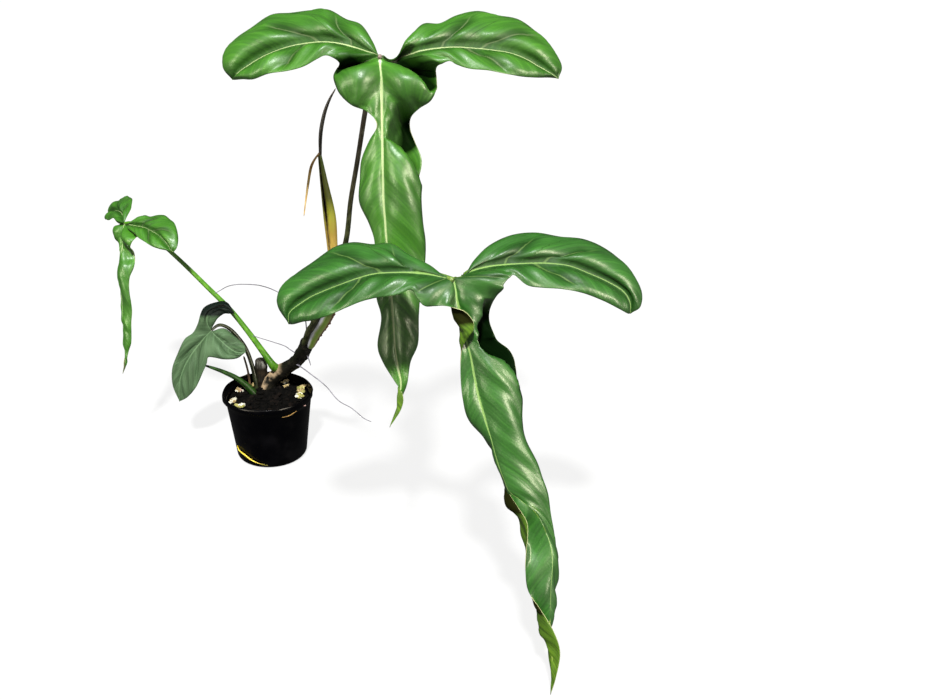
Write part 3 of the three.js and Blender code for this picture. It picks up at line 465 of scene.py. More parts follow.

# %% [markdown]
# The blade's own UV maps carry what the leaf material draws: the distance from the rib and along it, the
# distance from the margin with the count of fine side veins, the distance from the nearest strong vein,
# and how much painted shade the folds and the curls put on the place. The distances are in centimetres,
# so a line has a real width.

# %% Strips of a blade
NO_WIDTH = 0.01
SEAM = 0.2
REAR_COLUMNS = 0.8
BLADE_THICKNESS = 0.5
LEAF_TILT = -25
CM = 10


def between(low, value, high):
    """The value, kept between the two others."""
    return min(high, max(low, value))


def leaf_vector(point):
    """A table's [across, down, out], or a bend straight out, as a vector."""
    across, down, out = point if isinstance(point, list) else (0, 0, point)
    return Vector((across, -out, -down))


def strip_lines(form, side, where):
    """The strip's vein, edge and bends beside it, and how many of its spans lie on the lobe."""
    lobe = form[side + "Lobe"]
    veins = [leaf_vector(row[0]) for row in lobe]
    if where == "rear":
        bellies = [min(REAR_BELLY, REAR_BELLY_SHARE * math.dist(row[0], row[1])) for row in lobe]
        return [(vein, leaf_vector(row[1]), bend, bend) for vein, row, bend in zip(veins, lobe, bellies)], 0
    bellies = [0, *[LOBE_BELLY] * (len(lobe) - 2), 0]
    rows = [(vein, leaf_vector(row[2]), bend, bend)
            for vein, row, bend in zip(veins, lobe, bellies) if row[2]]
    rows.reverse()
    for vein, (edge, near, far) in zip(form["midrib"], form[side]):
        rows.append((leaf_vector(vein), leaf_vector(edge), near, far))
    return rows, len(lobe) - 1


def strip_points(rows, lobe_spans, steps, columns):
    """The strip's grid of points: rows from the vein to the edge, each a cubic curve through four lines."""
    veins = [row[0] for row in rows]
    if lobe_spans:
        lobe = smooth_row(veins[:lobe_spans + 1], steps)
        vein = lobe[:-1] + smooth_row(veins[lobe_spans:], steps)
    else:
        vein = smooth_row(veins, steps)
    near = smooth_row([v.lerp(edge, 1 / 3) + leaf_vector(bend) for v, edge, bend, _ in rows], steps)
    far = smooth_row([v.lerp(edge, 2 / 3) + leaf_vector(bend) for v, edge, _, bend in rows], steps)
    edge = smooth_row([row[1] for row in rows], steps)
    grid = []
    for lines in zip(vein, near, far, edge):
        points = []
        for column in range(columns + 1):
            s = column / columns
            weights = ((1 - s) * (1 - 1.5 * s) * (1 - 3 * s), 9 * s * (1 - s) * (1 - 1.5 * s),
                       4.5 * s * (1 - s) * (3 * s - 1), s * (1.5 * s - 1) * (3 * s - 1))
            points.append(sum((line * weight for line, weight in zip(lines, weights)), Vector()))
        grid.append(points)
    return grid


def nearest_vein(strong, row, across, pitch, width):
    """The signed distance from the nearest strong vein, and how strong that vein still is there, 0 to 1.

    across is the share of the strip's width, and pitch is the length of one row of the tables.
    """
    nearest, mask = NO_VEIN_NEAR, 0.0
    for start, end, shortest in strong:
        share = min(across / shortest, VEIN_PAST_END)
        place = start + (end - start) * share ** VEIN_BEND
        bend = VEIN_BEND * max(share, VEIN_FIRST) ** (VEIN_BEND - 1)
        slope = bend * (end - start) / shortest * pitch / width
        apart = (row - place) * pitch / math.hypot(1, slope)
        if abs(apart) < abs(nearest):
            nearest = apart
            mask = between(0, (1 - share) / VEIN_FADE, 1)
    return nearest, mask


def strip_measures(grid, lobe_spans, steps, strong):
    """What the relief and the drawing need to know of each point of the grid.

    That is its distance from the rib, along it and from the margin, the count of side veins, the distance
    from the nearest strong vein with its strength, and the distance from the strip's tip.
    """
    along = [0.0]
    for before, after in zip(grid, grid[1:]):
        along.append(along[-1] + (after[0] - before[0]).length)
    stalk = along[lobe_spans * steps]
    measures = []
    for i, points in enumerate(grid):
        reach = [0.0]
        for before, after in zip(points, points[1:]):
            reach.append(reach[-1] + (after - before).length)
        width = max(reach[-1], NO_WIDTH)
        low, high = max(i - steps, 0), min(i + steps, len(grid) - 1)
        pitch = (along[high] - along[low]) / (high - low) * steps
        row = lobe_spans - i / steps if lobe_spans else i / steps
        away = abs(along[i] - stalk)
        tip = along[i] if i < lobe_spans * steps else along[-1] - along[i]
        line = []
        for distance in reach:
            across = distance / width
            lean = (SIDE_VEIN_LEAN + SIDE_VEIN_CURVE * across) * min(1, away / FAN_REACH)
            count = (away - lean * distance) / SIDE_VEIN_SPACING
            vein = nearest_vein(strong, row, across, pitch, width)
            line.append((distance, away, width - distance, count, *vein, tip))
        measures.append(line)
    return measures


# %% [markdown]
# A strip is smooth so far. The next functions say how far each corner moves for the relief and for the
# folds, and how dark it gets. The corners move, and not only the shading, so the leaf is right from the
# side as well.

# %% Relief, folds and curls


def crease(distance, reach):
    """How much of a crease's depth is left at that distance from it."""
    return max(0, 1 - abs(distance) / reach) ** 2


def relief(point, measure, lobe):
    """How far the blade rises there, in millimetres."""
    distance, away, margin, count, apart, mask, tip = measure
    deep, wide = LOBE_GROOVE if lobe else MIDDLE_GROOVE
    height = -deep * crease(distance, wide) * min(1, (away + 1) / GROOVE_FROM_STALK, tip / GROOVE_FROM_TIP)
    vein_start = min(1, distance / VEIN_FROM_RIB, away / VEIN_FROM_STALK)
    height -= VEIN_GROOVE * mask * crease(apart, VEIN_GROOVE_REACH) * vein_start
    inner = min(1, distance / RIB_FADE) * min(1, margin / MARGIN_FADE)
    height += PLEAT_DEPTH * math.cos(2 * math.pi * count) * inner
    swell = noise.noise(Vector((count * SWELL_PER_VEIN, distance / SWELL_LENGTH, 0)))
    inner *= SWELL_AT_STALK + (1 - SWELL_AT_STALK) * min(1, away / FAN_REACH)
    height += (SWELL_DEPTH * swell + RIPPLE_DEPTH * noise.noise(point / RIPPLE_SIZE)) * inner
    return height


def nearest_on(line, place):
    """Where a line comes nearest to a place: distance, side, count of corners so far and direction."""
    nearest = None
    for i, (start, end) in enumerate(zip(line, line[1:])):
        span = end - start
        share = between(0, (place - start).dot(span) / span.length_squared, 1)
        apart = place - (start + span * share)
        if nearest is None or apart.length < nearest[0]:
            nearest = (apart.length, span.x * apart.y - span.y * apart.x, i + share, span.normalized())
    return nearest


def fold_shift(point, folds):
    """How far the folds move a point of the blade, as a vector, and how much painted shade they put on it,
    0 to 1.
    """
    place = Vector((point.x, -point.z))
    shift = Vector()
    depth = 0
    for fold in folds:
        line = [Vector(corner) for corner in fold["line"]]
        apart, side, at, ahead = nearest_on(line, place)
        along = at / (len(line) - 1)
        fade = math.sin(math.pi * along) ** FOLD_ROUNDNESS
        lift = fold.get("lift", 0)
        if side > 0 and "both" not in fold:
            shift.y -= fade * lift * math.exp(-apart / LIFT_REACH)
            continue
        # Painted shade: how dark the fold makes the blade, along its line and behind it.
        start, full, ease, end = fold["dark"]
        dark = min(1, max(0, (along - start) / (full - start)), max(0, (end - along) / (end - ease)))
        near = 1 if "both" in fold else min(1, apart / DARK_FROM)
        depth = max(depth, dark * near * max(0, 1 - apart / fold["shade"]))
        if "deep" in fold:
            wall = min(1, apart / WALL)
            behind = max(0, apart - WALL)
            hollow = fade * wall * max(0, 1 - behind / fold["reach"])
            shift.y += hollow * (-fold["deep"] - point.y) - fade * (1 - wall) * lift
            tuck = fade * TUCK * wall * math.exp(-(behind / TUCK_REACH) ** 2)
            shift += tuck * Vector((-ahead.y, 0, -ahead.x))
    return shift, depth


def curl_shade_depth(name, side, across, down):
    """How much painted shade lies on the inner side of a curl of the left edge at a share of the width, so
    far down.
    """
    outer = between(0, (across - CURL_START) / CURL_FADE, 1) if side == "left" else 0
    depth = 0
    for start, end in CURL_SHADE_SPANS.get(name, []):
        inside = between(0, (down - start) / CURL_END_FADE, 1) * between(0, (end - down) / CURL_END_FADE, 1)
        depth = max(depth, outer * inside)
    return depth


# %% [markdown]
# The blade is four strips, welded along the ribs. The relief is added along the welded blade's own
# normals, so the strips stay joined. Then the blade is tilted and set on its stalk, and gets its
# thickness, with the underside on its back and the pale cut on its rim.

# %% A whole blade


def blade(name, form, at, materials, scale=1.0, turn=0, steps=8, columns=22):
    """A leaf of that form whose stalk meets it at that place."""
    bm = bmesh.new()
    rise, painted_curl_shade = [bm.verts.layers.float.new(title) for title in ("rise", "painted_curl_shade")]
    ribs, margins, strong, painted_shades = [
        bm.loops.layers.uv.new(title) for title in ("ribs", "margins", "strong", "painted_shades")]
    for side in ("right", "left"):
        for where in ("rear", "front"):
            rows, lobe_spans = strip_lines(form, side, where)
            wide = columns if where == "front" else round(columns * REAR_COLUMNS)
            grid = strip_points(rows, lobe_spans, steps, wide)
            measures = strip_measures(grid, lobe_spans, steps, STRONG_VEINS[name][f"{side} {where}"])
            lobe_rows = lobe_spans * steps if where == "front" else len(grid)

            def in_ribs(column, row):
                distance, away = measures[row][column][:2]
                return distance / CM, away / (-CM if row < lobe_rows else CM)

            def in_margins(column, row):
                margin, count = measures[row][column][2:4]
                return margin / CM, count

            def in_strong(column, row):
                apart, mask = measures[row][column][4:6]
                return apart / CM, mask

            address = bent_grid(bm, wide, len(grid) - 1, lambda column, row: grid[row][column],
                                [(ribs, in_ribs), (margins, in_margins), (strong, in_strong)],
                                turned=side == "right")
            for vert, (column, row) in address.items():
                lobe = row < lobe_rows
                vert[rise] = relief(vert.co, measures[row][column], lobe)
                # Painted shade on the inner side of the left edge's curls.
                vert[painted_curl_shade] = 0 if lobe else curl_shade_depth(name, side, column / wide, -vert.co.z)
    bmesh.ops.remove_doubles(bm, verts=bm.verts, dist=SEAM)
    bm.normal_update()
    for vert, normal in [(vert, vert.normal.copy()) for vert in bm.verts]:
        shift, depth = fold_shift(vert.co, FOLDS.get(name, []))
        vert.co += normal * vert[rise] + shift
        # Each corner's painted shade from the folds and from the curls.
        for loop in vert.link_loops:
            loop[painted_shades].uv = (depth, vert[painted_curl_shade])
    bmesh.ops.scale(bm, vec=(scale, scale, scale), verts=bm.verts)
    place = Matrix.Translation(at) @ Matrix.Rotation(math.radians(turn), 4, "Z")
    place = place @ Matrix.Rotation(math.radians(LEAF_TILT), 4, "X")
    bmesh.ops.transform(bm, matrix=place, verts=bm.verts)
    piece = finished(name + "_blade", bm, materials, replaced=name)
    thicken(piece, BLADE_THICKNESS, 0, back=1, rim=2)


# %% [markdown]
# A living leaf has a waxy skin over a spongy green body. The wax gives a broad, slightly speckled gloss,
# and the veins show paler. The upper side is a deep green that varies in soft streaks along the side
# veins. The underside is duller and more yellow, and the margin is a thin pale line. Painted shade lies
# over this: the green is darkened beside the lobes' ribs and the strong veins, nearly to black deep in a
# fold and on the inner side of the curls, and on the young leaves above a certain height.

# %% Leaf skins
TONE_STOPS = (0.36, 0.5, 0.64)
STREAKS_PER_VEIN = 2.2
STREAK_STRETCH = 0.35
BLOTCH_SIZE = 38
SPECKLE_SIZE = 1.6
CREASE_HALF = 1.1
FINE_VEIN_SHARE = 0.1
LEAF_ROUGHNESS = 0.6
WAX_ROUGHNESS = 0.38
# Colours of painted shade: in the folds' hollows, in the curls, beside ribs and veins, and on the young
# leaves' tops.
FOLD_SHADE_COLOUR = "040e04"
CURL_SHADE_COLOUR = "1b1609"
CREASE_SHADE_COLOUR = "0a2806"
YOUNG_TOP_SHADE = (0.172, "04100e")
DARK_FADE = 4
LEAF_BUMP = 0.12


def leaf_skin(name, greens, vein, fine_vein, rib_half=0.1, vein_share=0.3, sheen=0.3, wax=0.8, crease=0.6,
              curl_shade_strength=0.0, painted_shade_above=None):
    """A leaf's skin: greens run from its darkest to its lightest streaks. Its maps are in centimetres.

    Layers of colour lie over the streaks: painted shade in the creases, the veins, the margin, and painted
    shade in the curls and the folds. painted_shade_above is (height in metres, the colour of the painted
    shade above it).
    """
    material, tree, shader = new_material(name)
    place = add(tree, "TexCoord").outputs["Object"]
    (distance, along), (margin, count), (apart, mask), (hollow, painted_curl_shade) = [
        add(tree, "SeparateXYZ", [add(tree, "UVMap", uv_map=title)]).outputs[:2]
        for title in ("ribs", "margins", "strong", "painted_shades")]

    streak_across = add(tree, "Math", [count, STREAKS_PER_VEIN], operation="MULTIPLY")
    streak_along = add(tree, "Math", [distance, STREAK_STRETCH], operation="MULTIPLY")
    streak_place = add(tree, "CombineXYZ", [streak_across, streak_along])
    streaks = add(tree, "TexNoise", {"Vector": streak_place, "Scale": 1.0, "Detail": 4.0})
    blotches = add(tree, "TexNoise", {"Vector": place, "Scale": 1000 / BLOTCH_SIZE, "Detail": 2.0})
    tone = add(tree, "Mix", [0.4, streaks, blotches])
    colour = add(tree, "ValToRGB", [tone], stops=list(zip(TONE_STOPS, greens)))

    on_lobe = add(tree, "Math", [along, 0.0], operation="LESS_THAN")
    nearness = add(tree, "Math", [apart], operation="ABSOLUTE")
    # Painted shade: the green is darkened beside the lobes' ribs and beside the strong veins, as if the
    # creases were in shade; crease sets how much.
    rib_shade = add(tree, "MapRange", [distance, 0.0, CREASE_HALF, crease, 0.0])
    rib_shade = add(tree, "Math", [rib_shade, on_lobe], operation="MULTIPLY")
    vein_shade = add(tree, "MapRange", [nearness, 0.0, 1.0, 1.3 * crease, 0.0])
    vein_shade = add(tree, "Math", [vein_shade, mask], operation="MULTIPLY")
    crease_shade = add(tree, "Math", [rib_shade, vein_shade], operation="MAXIMUM")

    beat = add(tree, "Math", [count, 1.0], operation="PINGPONG")
    fine = add(tree, "MapRange", [beat, 0.06, 0.14, FINE_VEIN_SHARE, 0.0])
    drawn = add(tree, "MapRange", [nearness, 0.03, 0.09, vein_share, 0.0])
    drawn = add(tree, "Math", [drawn, mask], operation="MULTIPLY")
    middle_half = add(tree, "MapRange", [along, 0.0, 25.0, rib_half, 0.04])
    lobe_half = add(tree, "MapRange", [along, -12.0, 0.0, 0.0, 0.01])
    half = add(tree, "Mix", [on_lobe, middle_half, lobe_half])
    past = add(tree, "Math", [distance, half], operation="SUBTRACT")
    rib = add(tree, "MapRange", [past, 0.0, 0.025, 0.9, 0.0])
    edge = add(tree, "MapRange", [margin, 0.02, 0.06, 0.5, 0.0])
    # Painted shade: nearly black on the inner side of the curls and in the hollows of the folds.
    curl_shade = add(tree, "MapRange", [painted_curl_shade, 0.05, 0.9, 0.0, curl_shade_strength])
    painted_fold_shade = add(tree, "MapRange", [hollow, 0.05, 0.6, 0.0, 0.96])
    layers = [(crease_shade, CREASE_SHADE_COLOUR), (fine, fine_vein), (drawn, vein), (rib, vein), (edge, fine_vein),
              (curl_shade, CURL_SHADE_COLOUR), (painted_fold_shade, FOLD_SHADE_COLOUR)]
    # Painted shade: the young leaves are darkened above a height, where the top lobe turns away from the
    # light.
    if painted_shade_above:
        level, shade = painted_shade_above
        up = add(tree, "SeparateXYZ", [place]).outputs["Z"]
        layers.append((add(tree, "MapRange", [up, level, level + DARK_FADE * MM, 0.0, 0.97]), shade))
    for share, tint in layers:
        colour = add(tree, "Mix", [share, colour, tint], data_type="RGBA")

    deep = add(tree, "Math", [painted_fold_shade, curl_shade], operation="MAXIMUM")
    speckle = add(tree, "TexNoise", {"Vector": place, "Scale": 1000 / SPECKLE_SIZE, "Detail": 2.0})
    rough, waxy = [
        add(tree, "MapRange", [speckle, 0.3, 0.7, middle - spread, middle + spread])
        for middle, spread in ((LEAF_ROUGHNESS, 0.05), (WAX_ROUGHNESS, 0.06))]
    dull = add(tree, "Math", [deep, crease_shade], operation="ADD")
    coat = add(tree, "MapRange", [dull, 0.0, 0.6, wax, 0.0])
    matt = add(tree, "MapRange", [deep, 0.0, 1.0, sheen, 0.0])
    height = add(tree, "Math", [speckle, 1.2, streaks], operation="MULTIPLY_ADD")
    height = add(tree, "Math", [fine, -0.8, height], operation="MULTIPLY_ADD")
    bump = add(tree, "Bump", {"Strength": 1.0, "Distance": LEAF_BUMP * MM, "Height": height})
    feed(tree, shader, {"Base Color": colour, "Roughness": rough, "Specular IOR Level": matt,
                        "Coat Weight": coat, "Coat Roughness": waxy, "Normal": bump, "Coat Normal": bump})
    return material


leaf_upper = leaf_skin("leaf_upper_skin", ("1f550e", "2a6717", "387920"), "8db45c", "4a8232")
newer_upper = leaf_skin("newer_leaf_upper_skin", ("2c670a", "3a7a12", "4a8c1c"), "c0d292", "5c9832",
                        vein_share=0.16)
leaf_under = leaf_skin("leaf_underside", ("33500b", "4f7414", "6c941c"), "8fa548", "64842c",
                       rib_half=0.17, vein_share=0.6, sheen=0.2, wax=0.1, crease=0.2, curl_shade_strength=0.95)
young_upper = leaf_skin("young_leaf_upper_skin", ("3f5639", "4f6a47", "607f59"), "68875e", "5d7a52",
                        rib_half=0.04, sheen=0.15, wax=0.0, crease=0.3, painted_shade_above=YOUNG_TOP_SHADE)
young_under = leaf_skin("young_leaf_underside", ("4d6647", "5f7a58", "728d6b"), "7d9672", "6f8a66",
                        rib_half=0.06, sheen=0.15, wax=0.0, crease=0.2, painted_shade_above=YOUNG_TOP_SHADE)

# %% [markdown]
# The rim of a blade shows as a thin line. It is pale where the margin has dried a little, in patches of
# some millimetres.

# %% The cut of a margin
MARGIN_GRAIN = 6
leaf_margin, tree, shader = new_material("leaf_margin")
place = add(tree, "TexCoord").outputs["Object"]
blotches = add(tree, "TexNoise", {"Vector": place, "Scale": 1000 / MARGIN_GRAIN})
pale = add(tree, "Mix", [blotches, "cdd89a", "b9b477"], data_type="RGBA")
feed(tree, shader, {"Base Color": pale, "Roughness": 0.5})

# %% [markdown]
# Each leaf hangs where its stalk ends, which is the place that the frame's own solid has. The two large
# ones face the front. The third, on the bright green stalk, and the young one stand on the left.

# %% The four leaves
older_skins = [leaf_upper, leaf_under, leaf_margin]
newer_skins = [newer_upper, leaf_under, leaf_margin]
young_skins = [young_upper, young_under, leaf_margin]
blade("leaf_1", UPPER_LEAF, (162.7, -254.1, 530.3), newer_skins)
blade("leaf_2", LOWER_LEAF, (225, -370.9, 374.6), older_skins)
blade("leaf_3", UPPER_LEAF, (-156, 33, 281), newer_skins,
      scale=0.55, turn=-50, steps=5, columns=16)
blade("leaf_4", YOUNG_LEAF, (-63.9, 12.5, 155.6), young_skins, columns=16)

# %% [markdown]
# Stems, leaf stalks and roots are round and taper. Each is a grid that is rolled into a tube along its
# route and welded along its seam. A curve with a bevel would be quicker to write, but a grid can swell
# at any ring, and its UV maps run along the skin. The routes are those of the frame's solids, point by
# point, and the last three are thin strands that lie on the pot. A point is its place and the radius
# there, in millimetres. Stems and stalks run from their foot upwards.

# %% Routes of the stems
ROUTES = {
    "main_stem": [
        [-7, 31, 52, 8], [-6, 32, 72, 8.5], [2, 31, 85, 8], [16, 24, 99, 8.2], [33, 8, 117, 7.4],
        [46, -12, 139, 8], [55, -32, 161, 7.6], [58, -41, 171, 5],
    ],
    "old_stem_stub": [
        [-13, 32, 58, 7.6], [-14, 35, 75, 7.6], [-13, 37, 90, 7.4], [-13, 38, 107, 7],
    ],
    "petiole_1": [
        [52, -34, 160, 4], [61, -57, 186, 4.2], [68, -76, 201, 4.2], [75, -97, 219, 4],
        [93, -126, 259, 3.4], [115, -150, 322, 2.7], [125, -174, 377, 2.4], [135, -196, 423, 2.3],
        [146, -221, 476, 2.3], [153, -235, 504, 2.3], [160, -248, 523, 2.1], [163, -256, 531, 1.5],
    ],
    "petiole_2": [
        [59, -38, 160, 4.2], [70, -63, 188, 5.8], [81.5, -92, 213, 6.3], [90, -112, 231, 5.4],
        [105, -151, 267, 3.6], [121, -205, 304, 2.9], [141, -268, 339, 2.7], [166, -313, 361, 2.6],
        [195, -346, 372, 2.5], [215, -363, 373, 2.5], [225, -373, 374, 2.2],
    ],
    "cataphyll": [
        [84, -86, 212, 3.4], [96, -108, 240, 4], [98.5, -113, 271, 4.4], [98, -113, 307, 5.2],
        [96.8, -114, 340, 6], [93, -117, 379, 3.6], [90.5, -120, 408, 1.6],
    ],
    "new_leaf": [
        [91, -119, 402, 1.4], [93, -123, 427, 1.9], [97.5, -125, 447, 1.8], [103.5, -127, 462, 1.3],
        [110.5, -129, 474, 0.5],
    ],
    "dried_strand": [
        [90.5, -121.5, 408, 1], [86, -131, 403, 1.3], [83, -136, 396, 1.5], [80, -139, 381, 1.3],
        [77, -139, 365, 0.9], [74, -138, 348, 0.5],
    ],
    "petiole_3": [
        [9, 32, 96, 5.4], [5, 22, 105, 5.2], [-1, 18, 118, 4], [-23, 23, 151, 3.2], [-43, 28, 177, 3],
        [-64.5, 33, 199, 2.8], [-96, 37, 233, 2.5], [-129, 41, 265, 2.2], [-148, 39, 279, 2],
        [-156, 34, 281.5, 1.6],
    ],
    "petiole_4": [
        [-18, 23, 58, 2.8], [-18.5, 24.5, 82, 2.7], [-22, 27, 105, 2.6], [-28, 28, 126, 2.5],
        [-36, 26, 142, 2.3], [-45, 24, 154, 2.1], [-55, 20, 160, 1.9], [-63.6, 13.2, 156.6, 1.5],
    ],
    "young_shoot": [
        [-17, 14, 55, 4.4], [-19, 14, 70, 4.4], [-26, 14, 81, 4], [-33, 13, 89, 3.4], [-42, 11, 97, 3],
        [-55, 9, 105, 2.4], [-67, 7, 111, 1.7], [-78, 7, 115, 0.5],
    ],
    "old_petiole": [
        [-25, 20, 60, 1.6], [-25, 20.5, 80, 1.5], [-26, 20, 100, 1.3], [-29, 18, 120, 1.1],
    ],
    "aerial_root_1": [
        [-51, -6, 211, 0.5], [-30, -11, 223, 0.6], [0, -25, 229, 0.7], [23, -41, 229, 0.7],
        [42, -54, 222, 0.8], [56, -56, 206, 0.9], [57, -45, 176, 0.9],
    ],
    "aerial_root_2": [
        [-12, -8, 159, 0.5], [8, -6, 151, 0.6], [24, -6, 145, 0.7], [32, -6, 139, 0.8],
        [42, -10, 134, 0.9],
    ],
    "aerial_root_3": [
        [28, 6, 114, 1], [37, -4, 120, 1], [56, -23, 116, 0.8], [74, -37, 108, 0.7], [89, -53, 98, 0.7],
        [105, -61, 92, 0.6], [119, -70, 84, 0.6], [128, -73, 81, 0.5],
    ],
    "aerial_root_4": [
        [47, -14, 141, 1.2], [52, -23, 142, 1.1], [55, -31, 140, 0.9], [58, -38, 135, 0.6],
    ],
    "yellow_straw": [
        [-37.5, -23, 21.5, 0.5], [-34.3, -29.8, 19.1, 0.8], [-26.2, -36.6, 16.2, 1],
        [-20, -39.8, 12.6, 1], [-14, -42.3, 10.4, 0.6], [-6.5, -43.9, 8.4, 0.35], [1, -44.4, 6.8, 0.2],
    ],
    "bark_curl": [
        [22.5, -46.3, 72.3, 0.3], [27.5, -43.8, 72.2, 0.5], [31, -41.9, 72.8, 0.6],
        [35, -38.7, 74, 0.6], [38, -35.7, 75, 0.3],
    ],
    "rim_curl": [
        [-41.5, 33, 84.6, 0.3], [-38, 37.2, 83.6, 0.5], [-34, 40.8, 83.6, 0.6], [-29, 44.6, 84.8, 0.6],
    ],
}
print(len(ROUTES), "routes")

# %% Tubes
WELD = 0.001


def rings_along(route, steps):
    """Ring frames along a smooth route: centre, the two directions across it, radius and length so far."""
    line = smooth_row([Vector(point) for point in route], steps)
    rings = []
    across = Vector((1, 0, 0))
    length = 0.0
    for i, point in enumerate(line):
        before = line[max(i - 1, 0)].xyz
        ahead = (line[min(i + 1, len(line) - 1)].xyz - before).normalized()
        across = (across - ahead * across.dot(ahead)).normalized()
        length += (point.xyz - before).length
        rings.append((point.xyz, across, ahead.cross(across), point.w, length))
    return rings


def skin_maps(bm, rings, sides):
    """The UV maps of a rolled grid: its skin in centimetres, and its shares around and along."""
    skin, shares = [bm.loops.layers.uv.new(title) for title in ("skin", "shares")]
    return [
        (skin, lambda column, row: (column / sides * 2 * math.pi * rings[row][3] / CM, rings[row][4] / CM)),
        (shares, lambda column, row: (column / sides, row / (len(rings) - 1))),
    ]


def tube(name, material, route, sides=20, steps=8, flat=1.0, swell=None, last=1.0):
    """A smooth closed tube along that route. swell(share, angle) and last, at its end, scale its radius.

    A route with the name of a solid of the frame stands for that solid.
    """
    rings = rings_along(ROUTES[route], steps)
    count = len(rings) - 1

    def place(column, row):
        centre, across, beside, radius, _ = rings[row]
        angle = 2 * math.pi * column / sides
        size = radius * (swell(row / count, angle) if swell else 1) * (last if row == count else 1)
        return centre + across * size * math.cos(angle) + beside * size * flat * math.sin(angle)

    bm = bmesh.new()
    bent_grid(bm, sides, count, place, skin_maps(bm, rings, sides))
    bmesh.ops.remove_doubles(bm, verts=bm.verts, dist=WELD)
    bmesh.ops.holes_fill(bm, edges=[edge for edge in bm.edges if edge.is_boundary], sides=0)
    bmesh.ops.recalc_face_normals(bm, faces=bm.faces)
    finished(name, bm, [material], replaced=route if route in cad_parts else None)


# %% [markdown]
# The stem's skin is dark green-brown and smooth, with a corky ring at each node, where a leaf has been,
# and a tan strip on its upper side near the foot, partly its own corky skin and partly painted sunlight.
# The stalks are satin, with fine grooves along them. One function draws them all: streaks that run along
# the piece, blotches, other tones from some way up, bands that lie side by side around its lower part,
# and a tan patch on the side that faces up, brightened as painted sunlight.

# %% Stem skins
STALK_STOPS = (0.38, 0.5, 0.62)
LIT_PATCH_FACES = (-0.55, -0.45, 0.7)


def along_streaks(tree, per_cm):
    """Streaks that run along a rolled piece, so many to a centimetre, and its shares around and along."""
    (around, up), shares = [
        add(tree, "SeparateXYZ", [add(tree, "UVMap", uv_map=title)]).outputs[:2]
        for title in ("skin", "shares")]
    squeezed = add(tree, "Math", [around, per_cm], operation="MULTIPLY")
    streak_place = add(tree, "CombineXYZ", [squeezed, up])
    return add(tree, "TexNoise", {"Vector": streak_place, "Scale": 1.0, "Detail": 4.0}), *shares


def stalk_skin(name, tones, higher=None, bands=None, tan_and_lit_patch=None, roughness=0.42, streak_mm=1.2,
               bump_mm=0.12, blotch_mm=14, gloss=0.5):
    """Plant skin with streaks along the piece. tones run from dark to light.

    higher is (tones, the shares of the length between which they take over). bands is (stops around, the
    share of the length that they reach). tan_and_lit_patch is (colour, share, the share of the length it
    reaches): a tan patch on the side that faces up, partly painted sunlight.
    """
    material, tree, shader = new_material(name)
    streaks, turned, along = along_streaks(tree, CM / streak_mm)
    place = add(tree, "TexCoord").outputs["Object"]
    blotches = add(tree, "TexNoise", {"Vector": place, "Scale": 1000 / blotch_mm, "Detail": 4.0})
    tone = add(tree, "Mix", [0.5, streaks, blotches])
    colour = add(tree, "ValToRGB", [tone], stops=list(zip(STALK_STOPS, tones)))
    if higher:
        upper_tones, low, high = higher
        upper = add(tree, "ValToRGB", [tone], stops=list(zip(STALK_STOPS, upper_tones)))
        share = add(tree, "MapRange", [along, low, high, 0.0, 1.0])
        colour = add(tree, "Mix", [share, colour, upper], data_type="RGBA")
    if bands:
        stops, reach = bands
        wander = add(tree, "Math", [blotches, 0.08, turned], operation="MULTIPLY_ADD")
        band = add(tree, "ValToRGB", [wander], stops=stops)
        share = add(tree, "MapRange", [along, reach, reach + 0.08, 0.9, 0.0])
        colour = add(tree, "Mix", [share, colour, band], data_type="RGBA")
    # A tan patch on the side that faces up: partly the stem's corky skin, partly painted sunlight.
    if tan_and_lit_patch:
        tint, most, reach = tan_and_lit_patch
        normal = add(tree, "NewGeometry").outputs["Normal"]
        facing = add(tree, "VectorMath", [normal, LIT_PATCH_FACES], operation="DOT_PRODUCT")
        upward = add(tree, "MapRange", [facing.outputs["Value"], 0.45, 0.75, 0.0, most])
        low = add(tree, "MapRange", [along, reach, reach + 0.06, 1.0, 0.0])
        broken = add(tree, "MapRange", [blotches, 0.38, 0.48])
        share = add(tree, "Math", [upward, broken], operation="MULTIPLY")
        share = add(tree, "Math", [share, low], operation="MULTIPLY")
        colour = add(tree, "Mix", [share, colour, tint], data_type="RGBA")
    rough = add(tree, "MapRange", [blotches, 0.3, 0.7, roughness - 0.1, roughness + 0.1])
    height = add(tree, "Math", [blotches, 0.6, streaks], operation="MULTIPLY_ADD")
    bump = add(tree, "Bump", {"Strength": 1.0, "Distance": bump_mm * MM, "Height": height})
    feed(tree, shader, {"Base Color": colour, "Roughness": rough, "Specular IOR Level": gloss,
                        "Normal": bump})
    return material


# Bands around the foot of leaf 2's stalk: the whitish ones are partly a pale margin of its sheath and
# partly a painted highlight.
SHEATH_BANDS_AND_HIGHLIGHT = [(0.50, "4a4a34"), (0.59, "b5b2ba"), (0.66, "f4f1f8"), (0.70, "c8d09a"), (0.75, "9ccb3e"),
                (0.87, "c0d060"), (0.91, "9a5a34"), (0.97, "4a2a1a")]
old_skin = stalk_skin("old_stem_skin", ("070705", "12110b", "29261a"), tan_and_lit_patch=("b09878", 0.95, 0.42),
                      roughness=0.6, bump_mm=0.2, gloss=0.15)
stub_skin = stalk_skin("stub_skin", ("0a0805", "15110b", "2a2217"), roughness=0.8, gloss=0.1,
                       higher=(("1a150e", "4d4a42", "9c9a90"), 0.8, 0.95))
purple_skin = stalk_skin("purple_brown_stalk_skin", ("23260f", "3f441f", "60643a"), roughness=0.5,
                         gloss=0.3, higher=(("42302a", "7a6259", "a8958a"), 0.5, 0.85))
